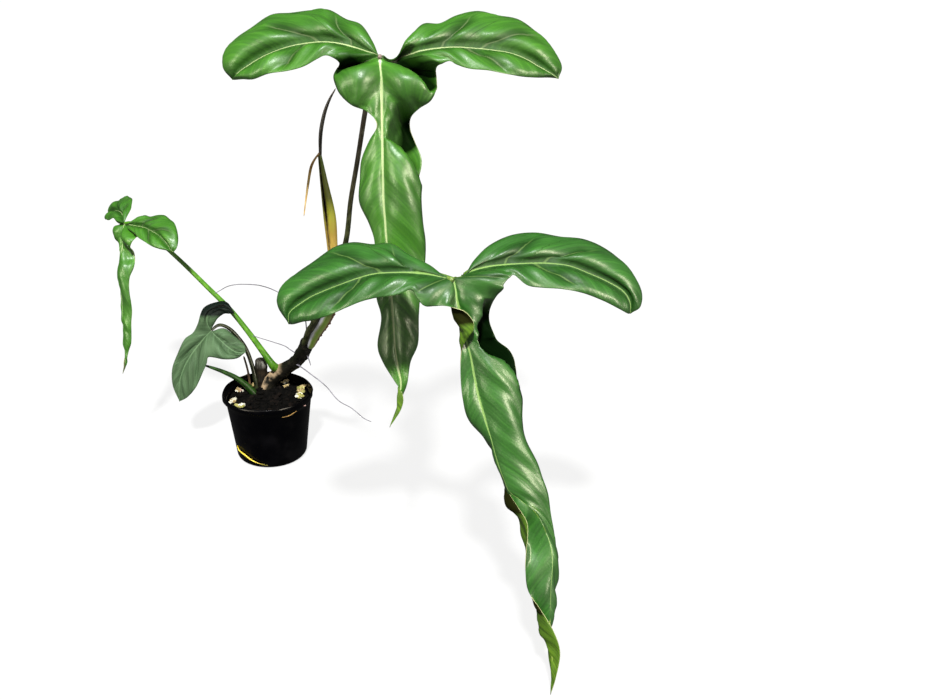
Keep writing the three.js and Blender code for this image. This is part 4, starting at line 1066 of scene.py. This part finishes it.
olive_skin = stalk_skin("dark_olive_stalk_skin", ("10140a", "1f2611", "343c1c"), roughness=0.4, gloss=0.3)
shoot_skin = stalk_skin("dark_green_shoot_skin", ("0d2105", "1a3a0a", "2c5614"), roughness=0.45, gloss=0.2)
green_skin = stalk_skin("bright_green_stalk_skin", ("356a0c", "4a8512", "66a322"), roughness=0.5, gloss=0.3)
sage_skin = stalk_skin("sage_green_stalk_skin", ("4c6a28", "688a38", "8ea552"), roughness=0.38,
                       bands=(SHEATH_BANDS_AND_HIGHLIGHT, 0.27))
brown_skin = stalk_skin("dark_new_leaf_skin", ("0e0b08", "211810", "3d2b1a"), roughness=0.45)
dead_skin = stalk_skin("dead_stalk_skin", ("2a1c14", "43301f", "6a4f30"), roughness=0.7, gloss=0.2)
tan_skin = stalk_skin("dry_tan_skin", ("7c5228", "b0824a", "d9b070"), roughness=0.75, gloss=0.2,
                      higher=(("b48a44", "dcb264", "f2d592"), 0.3, 0.5))
root_skin = stalk_skin("root_skin", ("55525a", "76737c", "94919a"), roughness=0.75, streak_mm=2)

# %% [markdown]
# Where a leaf has been, a ring stands out of the stem. The roots are knotty. Both are swells of a tube's
# radius, as functions of the share of its length and the angle around it.

# %% Stems, stalks and roots
STEM_UNEVENNESS = 0.03
ROOT_THICKNESS = 0.8
ROOT_UNEVENNESS = 0.12


def noded(places, height, reach):
    """A swell that adds a ring at each of the places along a stem, and makes it a little uneven."""
    return lambda share, angle: 1 + sum(
        height * math.exp(-((share - place) / reach) ** 2) for place in places
    ) + STEM_UNEVENNESS * math.sin(3 * angle + 14 * share)


def knotty(share, angle):
    """A root's uneven thickness."""
    return ROOT_THICKNESS + ROOT_UNEVENNESS * math.sin(41 * share) * math.sin(17 * share + angle)


tube("stem", old_skin, "main_stem", sides=32, steps=12,
     swell=noded((0.42, 0.57, 0.7, 0.84, 0.95), 0.1, 0.018))
tube("stem_stub", stub_skin, "old_stem_stub", sides=28, steps=10,
     swell=noded((0.45, 0.8), 0.1, 0.04), last=0.8)
tube("stalk_of_leaf_1", purple_skin, "petiole_1")
tube("stalk_of_leaf_2", sage_skin, "petiole_2")
tube("stalk_of_leaf_3", green_skin, "petiole_3")
tube("stalk_of_leaf_4", olive_skin, "petiole_4", sides=16)
tube("shoot", shoot_skin, "young_shoot", last=0.4)
tube("dead_stalk", dead_skin, "old_petiole", sides=14, last=0.6)
tube("spear", brown_skin, "new_leaf", sides=14, last=0.3)
tube("dry_strand", tan_skin, "dried_strand", sides=10, flat=0.5, last=0.3)
for number in range(1, 5):
    tube(f"root_{number}", root_skin, f"aerial_root_{number}", sides=10, swell=knotty,
         last=0.4)

# %% [markdown]
# The sheath that held the new leaf has split on its front left. It is a sheet rolled nearly closed: green
# and ochre outside, dark brown inside and along the torn edges.

# %% The split sheath
SHEATH_SIDES = 30
SHEATH_SWELL = 1.05
SHEATH_MOUTH = 0.6
SHEATH_FLAT = 0.8
SHEATH_THICKNESS = 0.5
SLIT_FACES = 4.1
SLIT_WIDTH = 0.75
SLIT_FROM = 0.6
SLIT_FADE = 0.12


def sheath_material(name, stops, edge):
    """A sheath's skin: its colours run along it, and its torn edges are dark."""
    material, tree, shader = new_material(name)
    streaks, turned, up = along_streaks(tree, 12.0)
    wander = add(tree, "MapRange", [streaks, 0.0, 1.0, -0.1, 0.1])
    along = add(tree, "Math", [up, wander], operation="ADD")
    colour = add(tree, "ValToRGB", [along], stops=stops)
    centred = add(tree, "Math", [turned, 0.5], operation="SUBTRACT")
    away = add(tree, "Math", [centred], operation="ABSOLUTE")
    ragged = add(tree, "Math", [streaks, 0.12, away], operation="MULTIPLY_ADD")
    torn = add(tree, "MapRange", [ragged, 0.5, 0.56, 0.0, 0.9])
    colour = add(tree, "Mix", [torn, colour, edge], data_type="RGBA")
    bump = add(tree, "Bump", {"Strength": 1.0, "Distance": 0.2 * MM, "Height": streaks})
    feed(tree, shader, {"Base Color": colour, "Roughness": 0.5, "Specular IOR Level": 0.2, "Normal": bump})
    return material


sheath_rings = rings_along(ROUTES["cataphyll"], 10)
last = len(sheath_rings) - 1


def sheath_place(column, row):
    """Where the split sheath's grid goes."""
    centre, across, beside, radius, _ = sheath_rings[row]
    share = row / last
    opening = SLIT_WIDTH * between(0, (share - SLIT_FROM) / SLIT_FADE, 1) * (1 - 0.5 * share)
    angle = SLIT_FACES + opening / 2 + (2 * math.pi - opening) * column / SHEATH_SIDES
    size = radius * (SHEATH_SWELL if row < last else SHEATH_MOUTH)
    return centre + across * size * math.cos(angle) + beside * size * SHEATH_FLAT * math.sin(angle)


bm = bmesh.new()
bent_grid(bm, SHEATH_SIDES, last, sheath_place, skin_maps(bm, sheath_rings, SHEATH_SIDES))
outside = sheath_material("papery_sheath_outside", [
    (0.5, "c2a24a"), (0.57, "ae8f3a"), (0.62, "a79637"), (0.68, "a3a22e"), (0.95, "6a8414")], "3b2a17")
inside = sheath_material("papery_sheath_inside", [(0.3, "4a3520"), (0.6, "2c1e12"), (0.9, "1b130c")],
                         "4a3825")
sheath = finished("sheath", bm, [outside, inside], replaced="cataphyll")
thicken(sheath, SHEATH_THICKNESS, -1, back=1)

# %% [markdown]
# A papery edge stands along the foot of leaf 2's stalk, where that leaf's own sheath has dried and torn.
# It is a narrow sheet whose free side is made uneven by noise. A tear is its depth, its length and where
# its noise starts.

# %% The papery edge
EDGE_RINGS = 64
EDGE_COLUMNS = 6
EDGE_FACES = 5.55
EDGE_TURN = 0.25
EDGE_STARTS = 0.85
EDGE_WIDTH = 3.2
EDGE_MEAN = 0.65
EDGE_TEARS = [(0.5, 7, 0), (0.25, 2, 5)]
EDGE_THICKNESS = 0.35
edge_rings = rings_along(ROUTES["petiole_2"], 14)[:EDGE_RINGS]


def edge_place(column, row):
    """Where the papery edge's grid goes: it stands off the stalk and is torn along its free side."""
    centre, across, beside, radius, length = edge_rings[row]
    share = column / EDGE_COLUMNS
    torn = EDGE_MEAN + sum(
        depth * noise.noise(Vector((length / size, start, 3))) for depth, size, start in EDGE_TEARS)
    taper = math.sin(math.pi * row / (EDGE_RINGS - 1)) ** 0.4
    off = radius * EDGE_STARTS + EDGE_WIDTH * torn * share * taper
    angle = EDGE_FACES + EDGE_TURN * share
    return centre + (across * math.cos(angle) + beside * math.sin(angle)) * off


bm = bmesh.new()
bent_grid(bm, EDGE_COLUMNS, EDGE_RINGS - 1, edge_place, skin_maps(bm, edge_rings, EDGE_COLUMNS))
torn_paper = stalk_skin("torn_papery_edge", ("5a3320", "8a5232", "b57c4c"), roughness=0.6, blotch_mm=6)
thicken(finished("papery_edge", bm, [torn_paper]), EDGE_THICKNESS, 0)

# %% [markdown]
# The pot is a thin, soft nursery pot: one sheet of black polypropylene, blown into a mould. It is made
# as the outer skin alone, spun around the upright axis, and Solidify gives it its wall. The base is a
# disc with six drain holes. A soft pot is never quite round, so waves that grow with height bend it, and
# its rim stands out a little less on the right.

# %% The pot
POT_SIDES = 96
POT_HEIGHT = 84
POT_CORNER = 7
POT_BASE_RADIUS = 42
POT_TOP_RADIUS = 51
POT_RIM_RADIUS = 54
POT_WALL = 1.2
WALL_HEIGHTS = range(14, 77, 7)
RIM_HEIGHT = 7
RIM_LESS = 1 / 3
DRAIN_HOLES = 6
DRAIN_SIDES = 20
DRAIN_RADIUS = 3.5
DRAIN_CIRCLE = 28
POT_WAVES = [(2, 0.014, 0.7), (5, 0.007, 0), (9, 0.004, 0)]
WELD_POT = 0.01


def pot_radius(height):
    """The outer wall's radius at that height."""
    share = (height - POT_CORNER) / (POT_HEIGHT - POT_CORNER)
    return POT_BASE_RADIUS + (POT_TOP_RADIUS - POT_BASE_RADIUS) * share


def widen(vert, factor):
    """Moves a corner away from the upright axis by that factor."""
    vert.co.x *= factor
    vert.co.y *= factor


def bend_out_of_round(bm):
    """Gives a round piece the soft pot's waves."""
    for vert in bm.verts:
        angle = math.atan2(vert.co.y, vert.co.x)
        waves = sum(share * math.cos(count * angle + phase) for count, share, phase in POT_WAVES)
        widen(vert, 1 + waves * (vert.co.z / POT_HEIGHT) ** 2)


def spin_outline(bm, outline):
    """Spins an outline of (radius, height) around the upright axis."""
    verts = [bm.verts.new((radius, 0, height)) for radius, height in outline]
    edges = [bm.edges.new(pair) for pair in zip(verts, verts[1:])]
    bmesh.ops.spin(bm, geom=verts + edges, angle=2 * math.pi, steps=POT_SIDES, axis=(0, 0, 1),
                   use_merge=True)


def close_up(bm):
    """Welds a spun piece's doubles and turns its faces outwards."""
    bmesh.ops.remove_doubles(bm, verts=bm.verts, dist=WELD_POT)
    bmesh.ops.recalc_face_normals(bm, faces=bm.faces)


corner_centre = POT_BASE_RADIUS - POT_CORNER
corner = [
    (corner_centre + POT_CORNER * math.sin(turn), POT_CORNER * (1 - math.cos(turn)))
    for turn in [math.radians(degrees) for degrees in range(0, 91, 15)]
]
wall = [(pot_radius(height), height) for height in WALL_HEIGHTS]
rim_bottom = POT_HEIGHT - RIM_HEIGHT
rim = [
    (pot_radius(rim_bottom - 0.6), rim_bottom - 0.6),
    (POT_RIM_RADIUS - 2.4, rim_bottom),
    (POT_RIM_RADIUS - 0.6, rim_bottom + 0.5),
    (POT_RIM_RADIUS, rim_bottom + 1.4),
    (POT_RIM_RADIUS, POT_HEIGHT - 1.6),
    (POT_RIM_RADIUS - 0.5, POT_HEIGHT - 0.5),
    (POT_RIM_RADIUS - 1.3, POT_HEIGHT),
    (POT_RIM_RADIUS - 2.2, POT_HEIGHT - 0.4),
    (POT_RIM_RADIUS - 2.6, POT_HEIGHT - 1.4),
]
bm = bmesh.new()
spin_outline(bm, corner + wall + rim)
bmesh.ops.create_circle(bm, segments=POT_SIDES, radius=corner_centre)
for k in range(DRAIN_HOLES):
    turn = 2 * math.pi * k / DRAIN_HOLES
    hole_place = Matrix.Translation((DRAIN_CIRCLE * math.cos(turn), DRAIN_CIRCLE * math.sin(turn), 0))
    bmesh.ops.create_circle(bm, segments=DRAIN_SIDES, radius=DRAIN_RADIUS, matrix=hole_place)
loose = [edge for edge in bm.edges if not edge.link_faces]
bmesh.ops.triangle_fill(bm, use_beauty=True, edges=loose)
close_up(bm)
for vert in bm.verts:
    beyond = math.hypot(vert.co.x, vert.co.y) - pot_radius(vert.co.z)
    if vert.co.z > rim_bottom and beyond > 0:
        angle = math.atan2(vert.co.y, vert.co.x)
        widen(vert, 1 - RIM_LESS * beyond / POT_RIM_RADIUS * (1 + math.cos(angle)))
bend_out_of_round(bm)

# %% [markdown]
# Blown polypropylene is glossy with a faint orange-peel surface and shallow dents. Dust and dried
# splashes of mix dull it in patches.

# %% The pot's plastic
CLOUD_SIZE = 26
PEEL_SIZE = 3.5
DENT_SIZE = 30
pot_plastic, tree, shader = new_material("blown_black_polypropylene")
place = add(tree, "TexCoord").outputs["Object"]
clouds = add(tree, "TexNoise", {"Vector": place, "Scale": 1000 / CLOUD_SIZE, "Detail": 5.0})
dust = add(tree, "MapRange", [clouds, 0.52, 0.72, 0.0, 0.25])
colour = add(tree, "Mix", [dust, "010103", "141318"], data_type="RGBA")
rough = add(tree, "MapRange", [clouds, 0.35, 0.65, 0.2, 0.38])
peel = add(tree, "TexNoise", {"Vector": place, "Scale": 1000 / PEEL_SIZE, "Detail": 2.0})
dents = add(tree, "TexNoise", {"Vector": place, "Scale": 1000 / DENT_SIZE, "Detail": 1.0})
height = add(tree, "Math", [dents, 6.0, peel], operation="MULTIPLY_ADD")
bump = add(tree, "Bump", {"Strength": 1.0, "Distance": 0.12 * MM, "Height": height})
feed(tree, shader, {"Base Color": colour, "Roughness": rough, "Specular IOR Level": 0.14, "Normal": bump})
thicken(finished("nursery_pot", bm, [pot_plastic], replaced="pot"), POT_WALL, -1)

# %% [markdown]
# The mix is composted bark and peat with chips in its top. One function makes its crumbly materials. A
# chip is a small ball of twenty faces, stretched and turned by chance, which gives it the flat faces and
# sharp corners of broken bark.

# %% Crumbs and chips
CHIP_TURN = 6.28
CHIP_TILT = 0.5
CHIP_ROUGHNESS = 0.55
CHIP_SPANS = ((0.8, 1.4), (0.7, 1.1), (0.35, 0.7))


def broken_stuff(name, grain_mm, detail, stops, roughness, gloss=0.5, bump_mm=0.0):
    """Crumbs or chips: one grain gives the colour and bump. roughness is a number or a (low, high) pair."""
    material, tree, shader = new_material(name)
    place = add(tree, "TexCoord").outputs["Object"]
    grain = add(tree, "TexNoise", {"Vector": place, "Scale": 1000 / grain_mm, "Detail": detail})
    if isinstance(roughness, tuple):
        roughness = add(tree, "MapRange", [grain, 0.3, 0.7, *roughness])
    inputs = {"Base Color": add(tree, "ValToRGB", [grain], stops=stops), "Roughness": roughness,
              "Specular IOR Level": gloss}
    if bump_mm:
        inputs["Normal"] = add(tree, "Bump", {"Strength": 1.0, "Distance": bump_mm * MM, "Height": grain})
    feed(tree, shader, inputs)
    return material


def chip(bm, at, size, rng, material_index):
    """A broken chip of about that size."""
    made = bmesh.ops.create_icosphere(bm, subdivisions=1, radius=1)
    sizes = [size * rng.uniform(*span) / 2 for span in CHIP_SPANS]
    turn = Matrix.Rotation(rng.uniform(0, CHIP_TURN), 3, "Z")
    turn = turn @ Matrix.Rotation(rng.uniform(-CHIP_TILT, CHIP_TILT), 3, "X")
    for vert in made["verts"]:
        rough = 1 + CHIP_ROUGHNESS * (rng.random() - 0.5)
        corner = Vector([part * stretch * rough for part, stretch in zip(vert.co, sizes)])
        vert.co = turn @ corner + Vector(at)
    for face in {face for vert in made["verts"] for face in vert.link_faces}:
        face.material_index = material_index


# %% [markdown]
# The mix itself is one body that fills the pot. It is moist, and its colour is darkened further, nearly to
# black, as painted shade of the leaves over the pot. Its outline is spun as the pot's is. Many rings lie on
# its top, and noise raises and sinks them into lumps.

# %% The mix
SOIL_TOP = 73
POT_GAP = 0.3
LUMP_DEPTH = 2.2
LUMP_SIZE = 9
INNER_HEIGHTS = (8, 30, 54, 71)
TOP_RINGS = 25
TOP_FIRST = 0.985
TOP_STEP = 0.04

inner = [(pot_radius(height) - POT_WALL - POT_GAP, height) for height in INNER_HEIGHTS]
base = POT_WALL + POT_GAP
foot = POT_BASE_RADIUS - base
reach = inner[-1][0]
top = [(reach * (TOP_FIRST - TOP_STEP * k), SOIL_TOP) for k in range(TOP_RINGS)]
bm = bmesh.new()
spin_outline(bm, [(0, base), (foot - 5, base), (foot - 1, 4), *inner, *top, (0, SOIL_TOP)])
close_up(bm)
for vert in bm.verts:
    if vert.co.z > SOIL_TOP - 1:
        spot = Vector((vert.co.x, vert.co.y, 0)) / LUMP_SIZE
        vert.co.z += LUMP_DEPTH * noise.noise(spot) + LUMP_DEPTH * 0.5 * noise.noise(spot * 2.7)
bend_out_of_round(bm)
# Nearly black: moist mix, darkened further as painted shade.
bark_mix = broken_stuff("moist_bark_mix_and_painted_shade", 2.5, 6.0, [(0.35, "010101"), (0.55, "050403"), (0.75, "110d09")],
                        (0.6, 0.95), gloss=0.1, bump_mm=1.5)
finished("bark_mix_body", bm, [bark_mix], replaced="soil")

# %% [markdown]
# Bark chips lie all over the top. They are scattered by chance, from a seed, so that every run gives the
# same ones. One in four has dried and is a little browner.

# %% Dark bark chips
CHIP_SEED = 7
DARK_CHIPS = 230
DARK_SIZES = (3, 8)
DARK_HEIGHTS = (-0.5, 1.8)
DARK_GRAIN = 3
FROM_WALL = 4
rng = random.Random(CHIP_SEED)
bm = bmesh.new()
for k in range(DARK_CHIPS):
    angle = rng.uniform(0, 2 * math.pi)
    radius = (reach - FROM_WALL) * math.sqrt(rng.random())
    spot = (radius * math.cos(angle), radius * math.sin(angle), SOIL_TOP + rng.uniform(*DARK_HEIGHTS))
    chip(bm, spot, rng.uniform(*DARK_SIZES), rng, rng.choice((0, 0, 0, 1)))
# Colours of the bark chips, darkened nearly to black: partly moist bark and partly painted shade.
moist_and_shaded = [(0.35, "010101"), (0.6, "080604"), (0.8, "18110b")]
dry_and_shaded = [(0.3, "060403"), (0.6, "120c08"), (0.8, "291d14")]
pine_bark = [broken_stuff(name, DARK_GRAIN, 5.0, stops, 0.9, gloss=0.1)
             for name, stops in (("moist_pine_bark_and_painted_shade", moist_and_shaded), ("dry_pine_bark_and_painted_shade", dry_and_shaded))]
finished("dark_bark_chips", bm, pine_bark, smooth=False)

# %% [markdown]
# Pale pieces lie here and there on the mix: white perlite, and tan, yellow-green and pinkish bark. Each
# cluster is placed where it lies in the pot, because the eye finds the pale chips first. A cluster is its
# middle, its half widths, its number of chips, their size and their kinds.

# %% Pale chips
WHITE, TAN, YELLOW, PINK = range(4)
PALE_GRAIN = 1.5
PALE_BUMP = 0.3
PALE_SIZES = (0.6, 1.1)
PALE_HEIGHTS = (1.6, 4)
PALE_STOPS = (0.35, 0.5, 0.65)
PALE_KINDS = [
    ("white_perlite", ("a8a58e", "dcd8c2", "f6f3e4"), 0.9),
    ("tan_bark", ("6b5a35", "9c8656", "c4b07c"), 0.8),
    ("green_tinged_bark", ("5c6a1f", "98944a", "c4b678"), 0.8),
    ("pinkish_bark", ("7c5a52", "a9847a", "cbb0a6"), 0.8),
]
PALE_CLUSTERS = [
    ((-40, -11), (3, 6), 12, 6.5, (WHITE, WHITE, TAN)),
    ((-31, -23), (6, 5), 16, 6.5, (WHITE, WHITE, YELLOW)),
    ((-36, 18), (5, 5), 14, 6.5, (PINK, WHITE, TAN)),
    ((-24, 32), (4, 4), 5, 5, (YELLOW, TAN)),
    ((14, 40), (4, 3), 9, 6, (TAN, WHITE, WHITE)),
    ((17, 28), (3, 4), 4, 5, (WHITE, TAN)),
    ((38, 20), (4, 6), 9, 9, (TAN, YELLOW)),
    ((38, 6), (5, 6), 9, 7.5, (YELLOW, WHITE, YELLOW)),
    ((42, -22), (3, 2), 4, 5.5, (PINK,)),
    ((-13, 45), (6, 1), 7, 7, (YELLOW, TAN)),
]

bm = bmesh.new()
for (x, y), (wide, deep), count, size, kinds in PALE_CLUSTERS:
    for k in range(count):
        across, back = x + rng.uniform(-wide, wide), y + rng.uniform(-deep, deep)
        spot = (across, back, SOIL_TOP + rng.uniform(*PALE_HEIGHTS))
        chip(bm, spot, size * rng.uniform(*PALE_SIZES), rng, rng.choice(kinds))
pale_stuff = [
    broken_stuff(name, PALE_GRAIN, 4.0, list(zip(PALE_STOPS, tones)), roughness, bump_mm=PALE_BUMP)
    for name, tones, roughness in PALE_KINDS]
finished("pale_chips", bm, pale_stuff, replaced="perlite_chips", smooth=False)

# %% [markdown]
# Three things lie on the pot itself: two thin curls of ochre bark, below the front rim and on the rear
# one, and a bright yellow straw that leans on the wall at the lower left. They are only a millimetre
# thick, so they are part of this dressing and not of the frame.

# %% The straw and the curls of bark
straw_skin = stalk_skin("yellow_straw_skin", ("c9a51c", "ecd033", "fbe86a"), roughness=0.45,
                        higher=(("6a6a1c", "7f7a22", "94882c"), 0.7, 0.95))
ochre_skin = stalk_skin("ochre_bark_skin", ("6a4a18", "96702a", "b58d3e"), roughness=0.7)
tube("yellow_straw", straw_skin, "yellow_straw", sides=10)
tube("bark_curl", ochre_skin, "bark_curl", sides=10)
tube("rim_curl", ochre_skin, "rim_curl", sides=10)

# %% [markdown]
# The floor is a plain pale sheet, lit from below as a light table is, so that shadows on it stay faint.
# It throws no light back on the plant.

# %% Floor
FLOOR_SIZE = 12
FLOOR_GLOW = 0.83
paper, tree, shader = new_material("pale_studio_paper")
feed(tree, shader, {"Base Color": "5a5a59", "Roughness": 0.95, "Emission Color": "ffffff",
                    "Emission Strength": FLOOR_GLOW})
bm = bmesh.new()
bmesh.ops.create_grid(bm, x_segments=1, y_segments=1, size=FLOOR_SIZE / 2)
floor = mesh_object("floor", bm, [paper])
floor.visible_diffuse = False
floor.visible_glossy = False
print("the floor is", FLOOR_SIZE, "m wide")

# %% [markdown]
# The light is a dim white sky and one high lamp in front, which is wide enough for the shadows of the
# leaves on each other to have soft edges. The sky is brighter behind the plant, where the lamp doesn't
# reach. The gloss sees a darker sky, as under trees, so the greens stay full.

# %% Sky
SKY_IN_FRONT = 0.26
SKY_BEHIND = 1.1
SKY_IN_GLOSS = 0.07
SKY_SEEN = 0.95
world = bpy.data.worlds.new("studio")
world.use_nodes = True
tree = world.node_tree
ray = add(tree, "LightPath")
heading = add(tree, "SeparateXYZ", [add(tree, "TexCoord").outputs["Generated"]])
soft = add(tree, "MapRange", [heading.outputs["Y"], 0.0, 1.0, SKY_IN_FRONT, SKY_BEHIND])
glow = add(tree, "MapRange", [ray.outputs["Is Glossy Ray"], 0.0, 1.0, soft, SKY_IN_GLOSS])
glow = add(tree, "MapRange", [ray.outputs["Is Camera Ray"], 0.0, 1.0, glow, SKY_SEEN])
feed(tree, tree.nodes["Background"], {"Color": "ffffff", "Strength": glow})
bpy.context.scene.world = world
bpy.context.scene.view_settings.view_transform = "Standard"
print("the sky is", SKY_IN_FRONT, "in front and", SKY_BEHIND, "behind")

# %% The high lamp
KEY_ELEVATION = 51
KEY_ANGLE = 4
KEY_ENERGY = 5.4
key = bpy.data.lights.new("key", "SUN")
key.energy = KEY_ENERGY
key.angle = math.radians(KEY_ANGLE)
into_scene("key", key).rotation_euler = (math.radians(90 - KEY_ELEVATION), 0, 0)
print("the lamp stands", KEY_ELEVATION, "degrees high")

# %% [markdown]
# Two panels at the sides stand for the bright ground that the hanging leaves mirror. They show only in
# the gloss, so they put soft streaks along the leaves' edges and leave the hollows dark.

# %% Panels that show in the gloss
PANEL_DISTANCE = 2.6
PANEL_WIDTH = 0.9
PANEL_HEIGHT = 1.6
PANEL_COLOUR = "fff4dc"
MIDDLE = Vector((0.1, -0.25, 0.35))
for side, turn, power in (("left", -50, 80), ("right", 50, 160)):
    panel = bpy.data.lights.new("panel_" + side, "AREA")
    panel.shape = "RECTANGLE"
    panel.size = PANEL_WIDTH
    panel.size_y = PANEL_HEIGHT
    panel.energy = power
    panel.color = linear(PANEL_COLOUR)[:3]
    lamp = into_scene("panel_" + side, panel)
    toward = Vector((math.sin(math.radians(turn)), -math.cos(math.radians(turn)), 0.05))
    lamp.location = MIDDLE + toward * PANEL_DISTANCE
    lamp.rotation_euler = toward.to_track_quat("Z", "Y").to_euler()
    lamp.visible_diffuse = False
    print(lamp.name, "gives", power, "W")
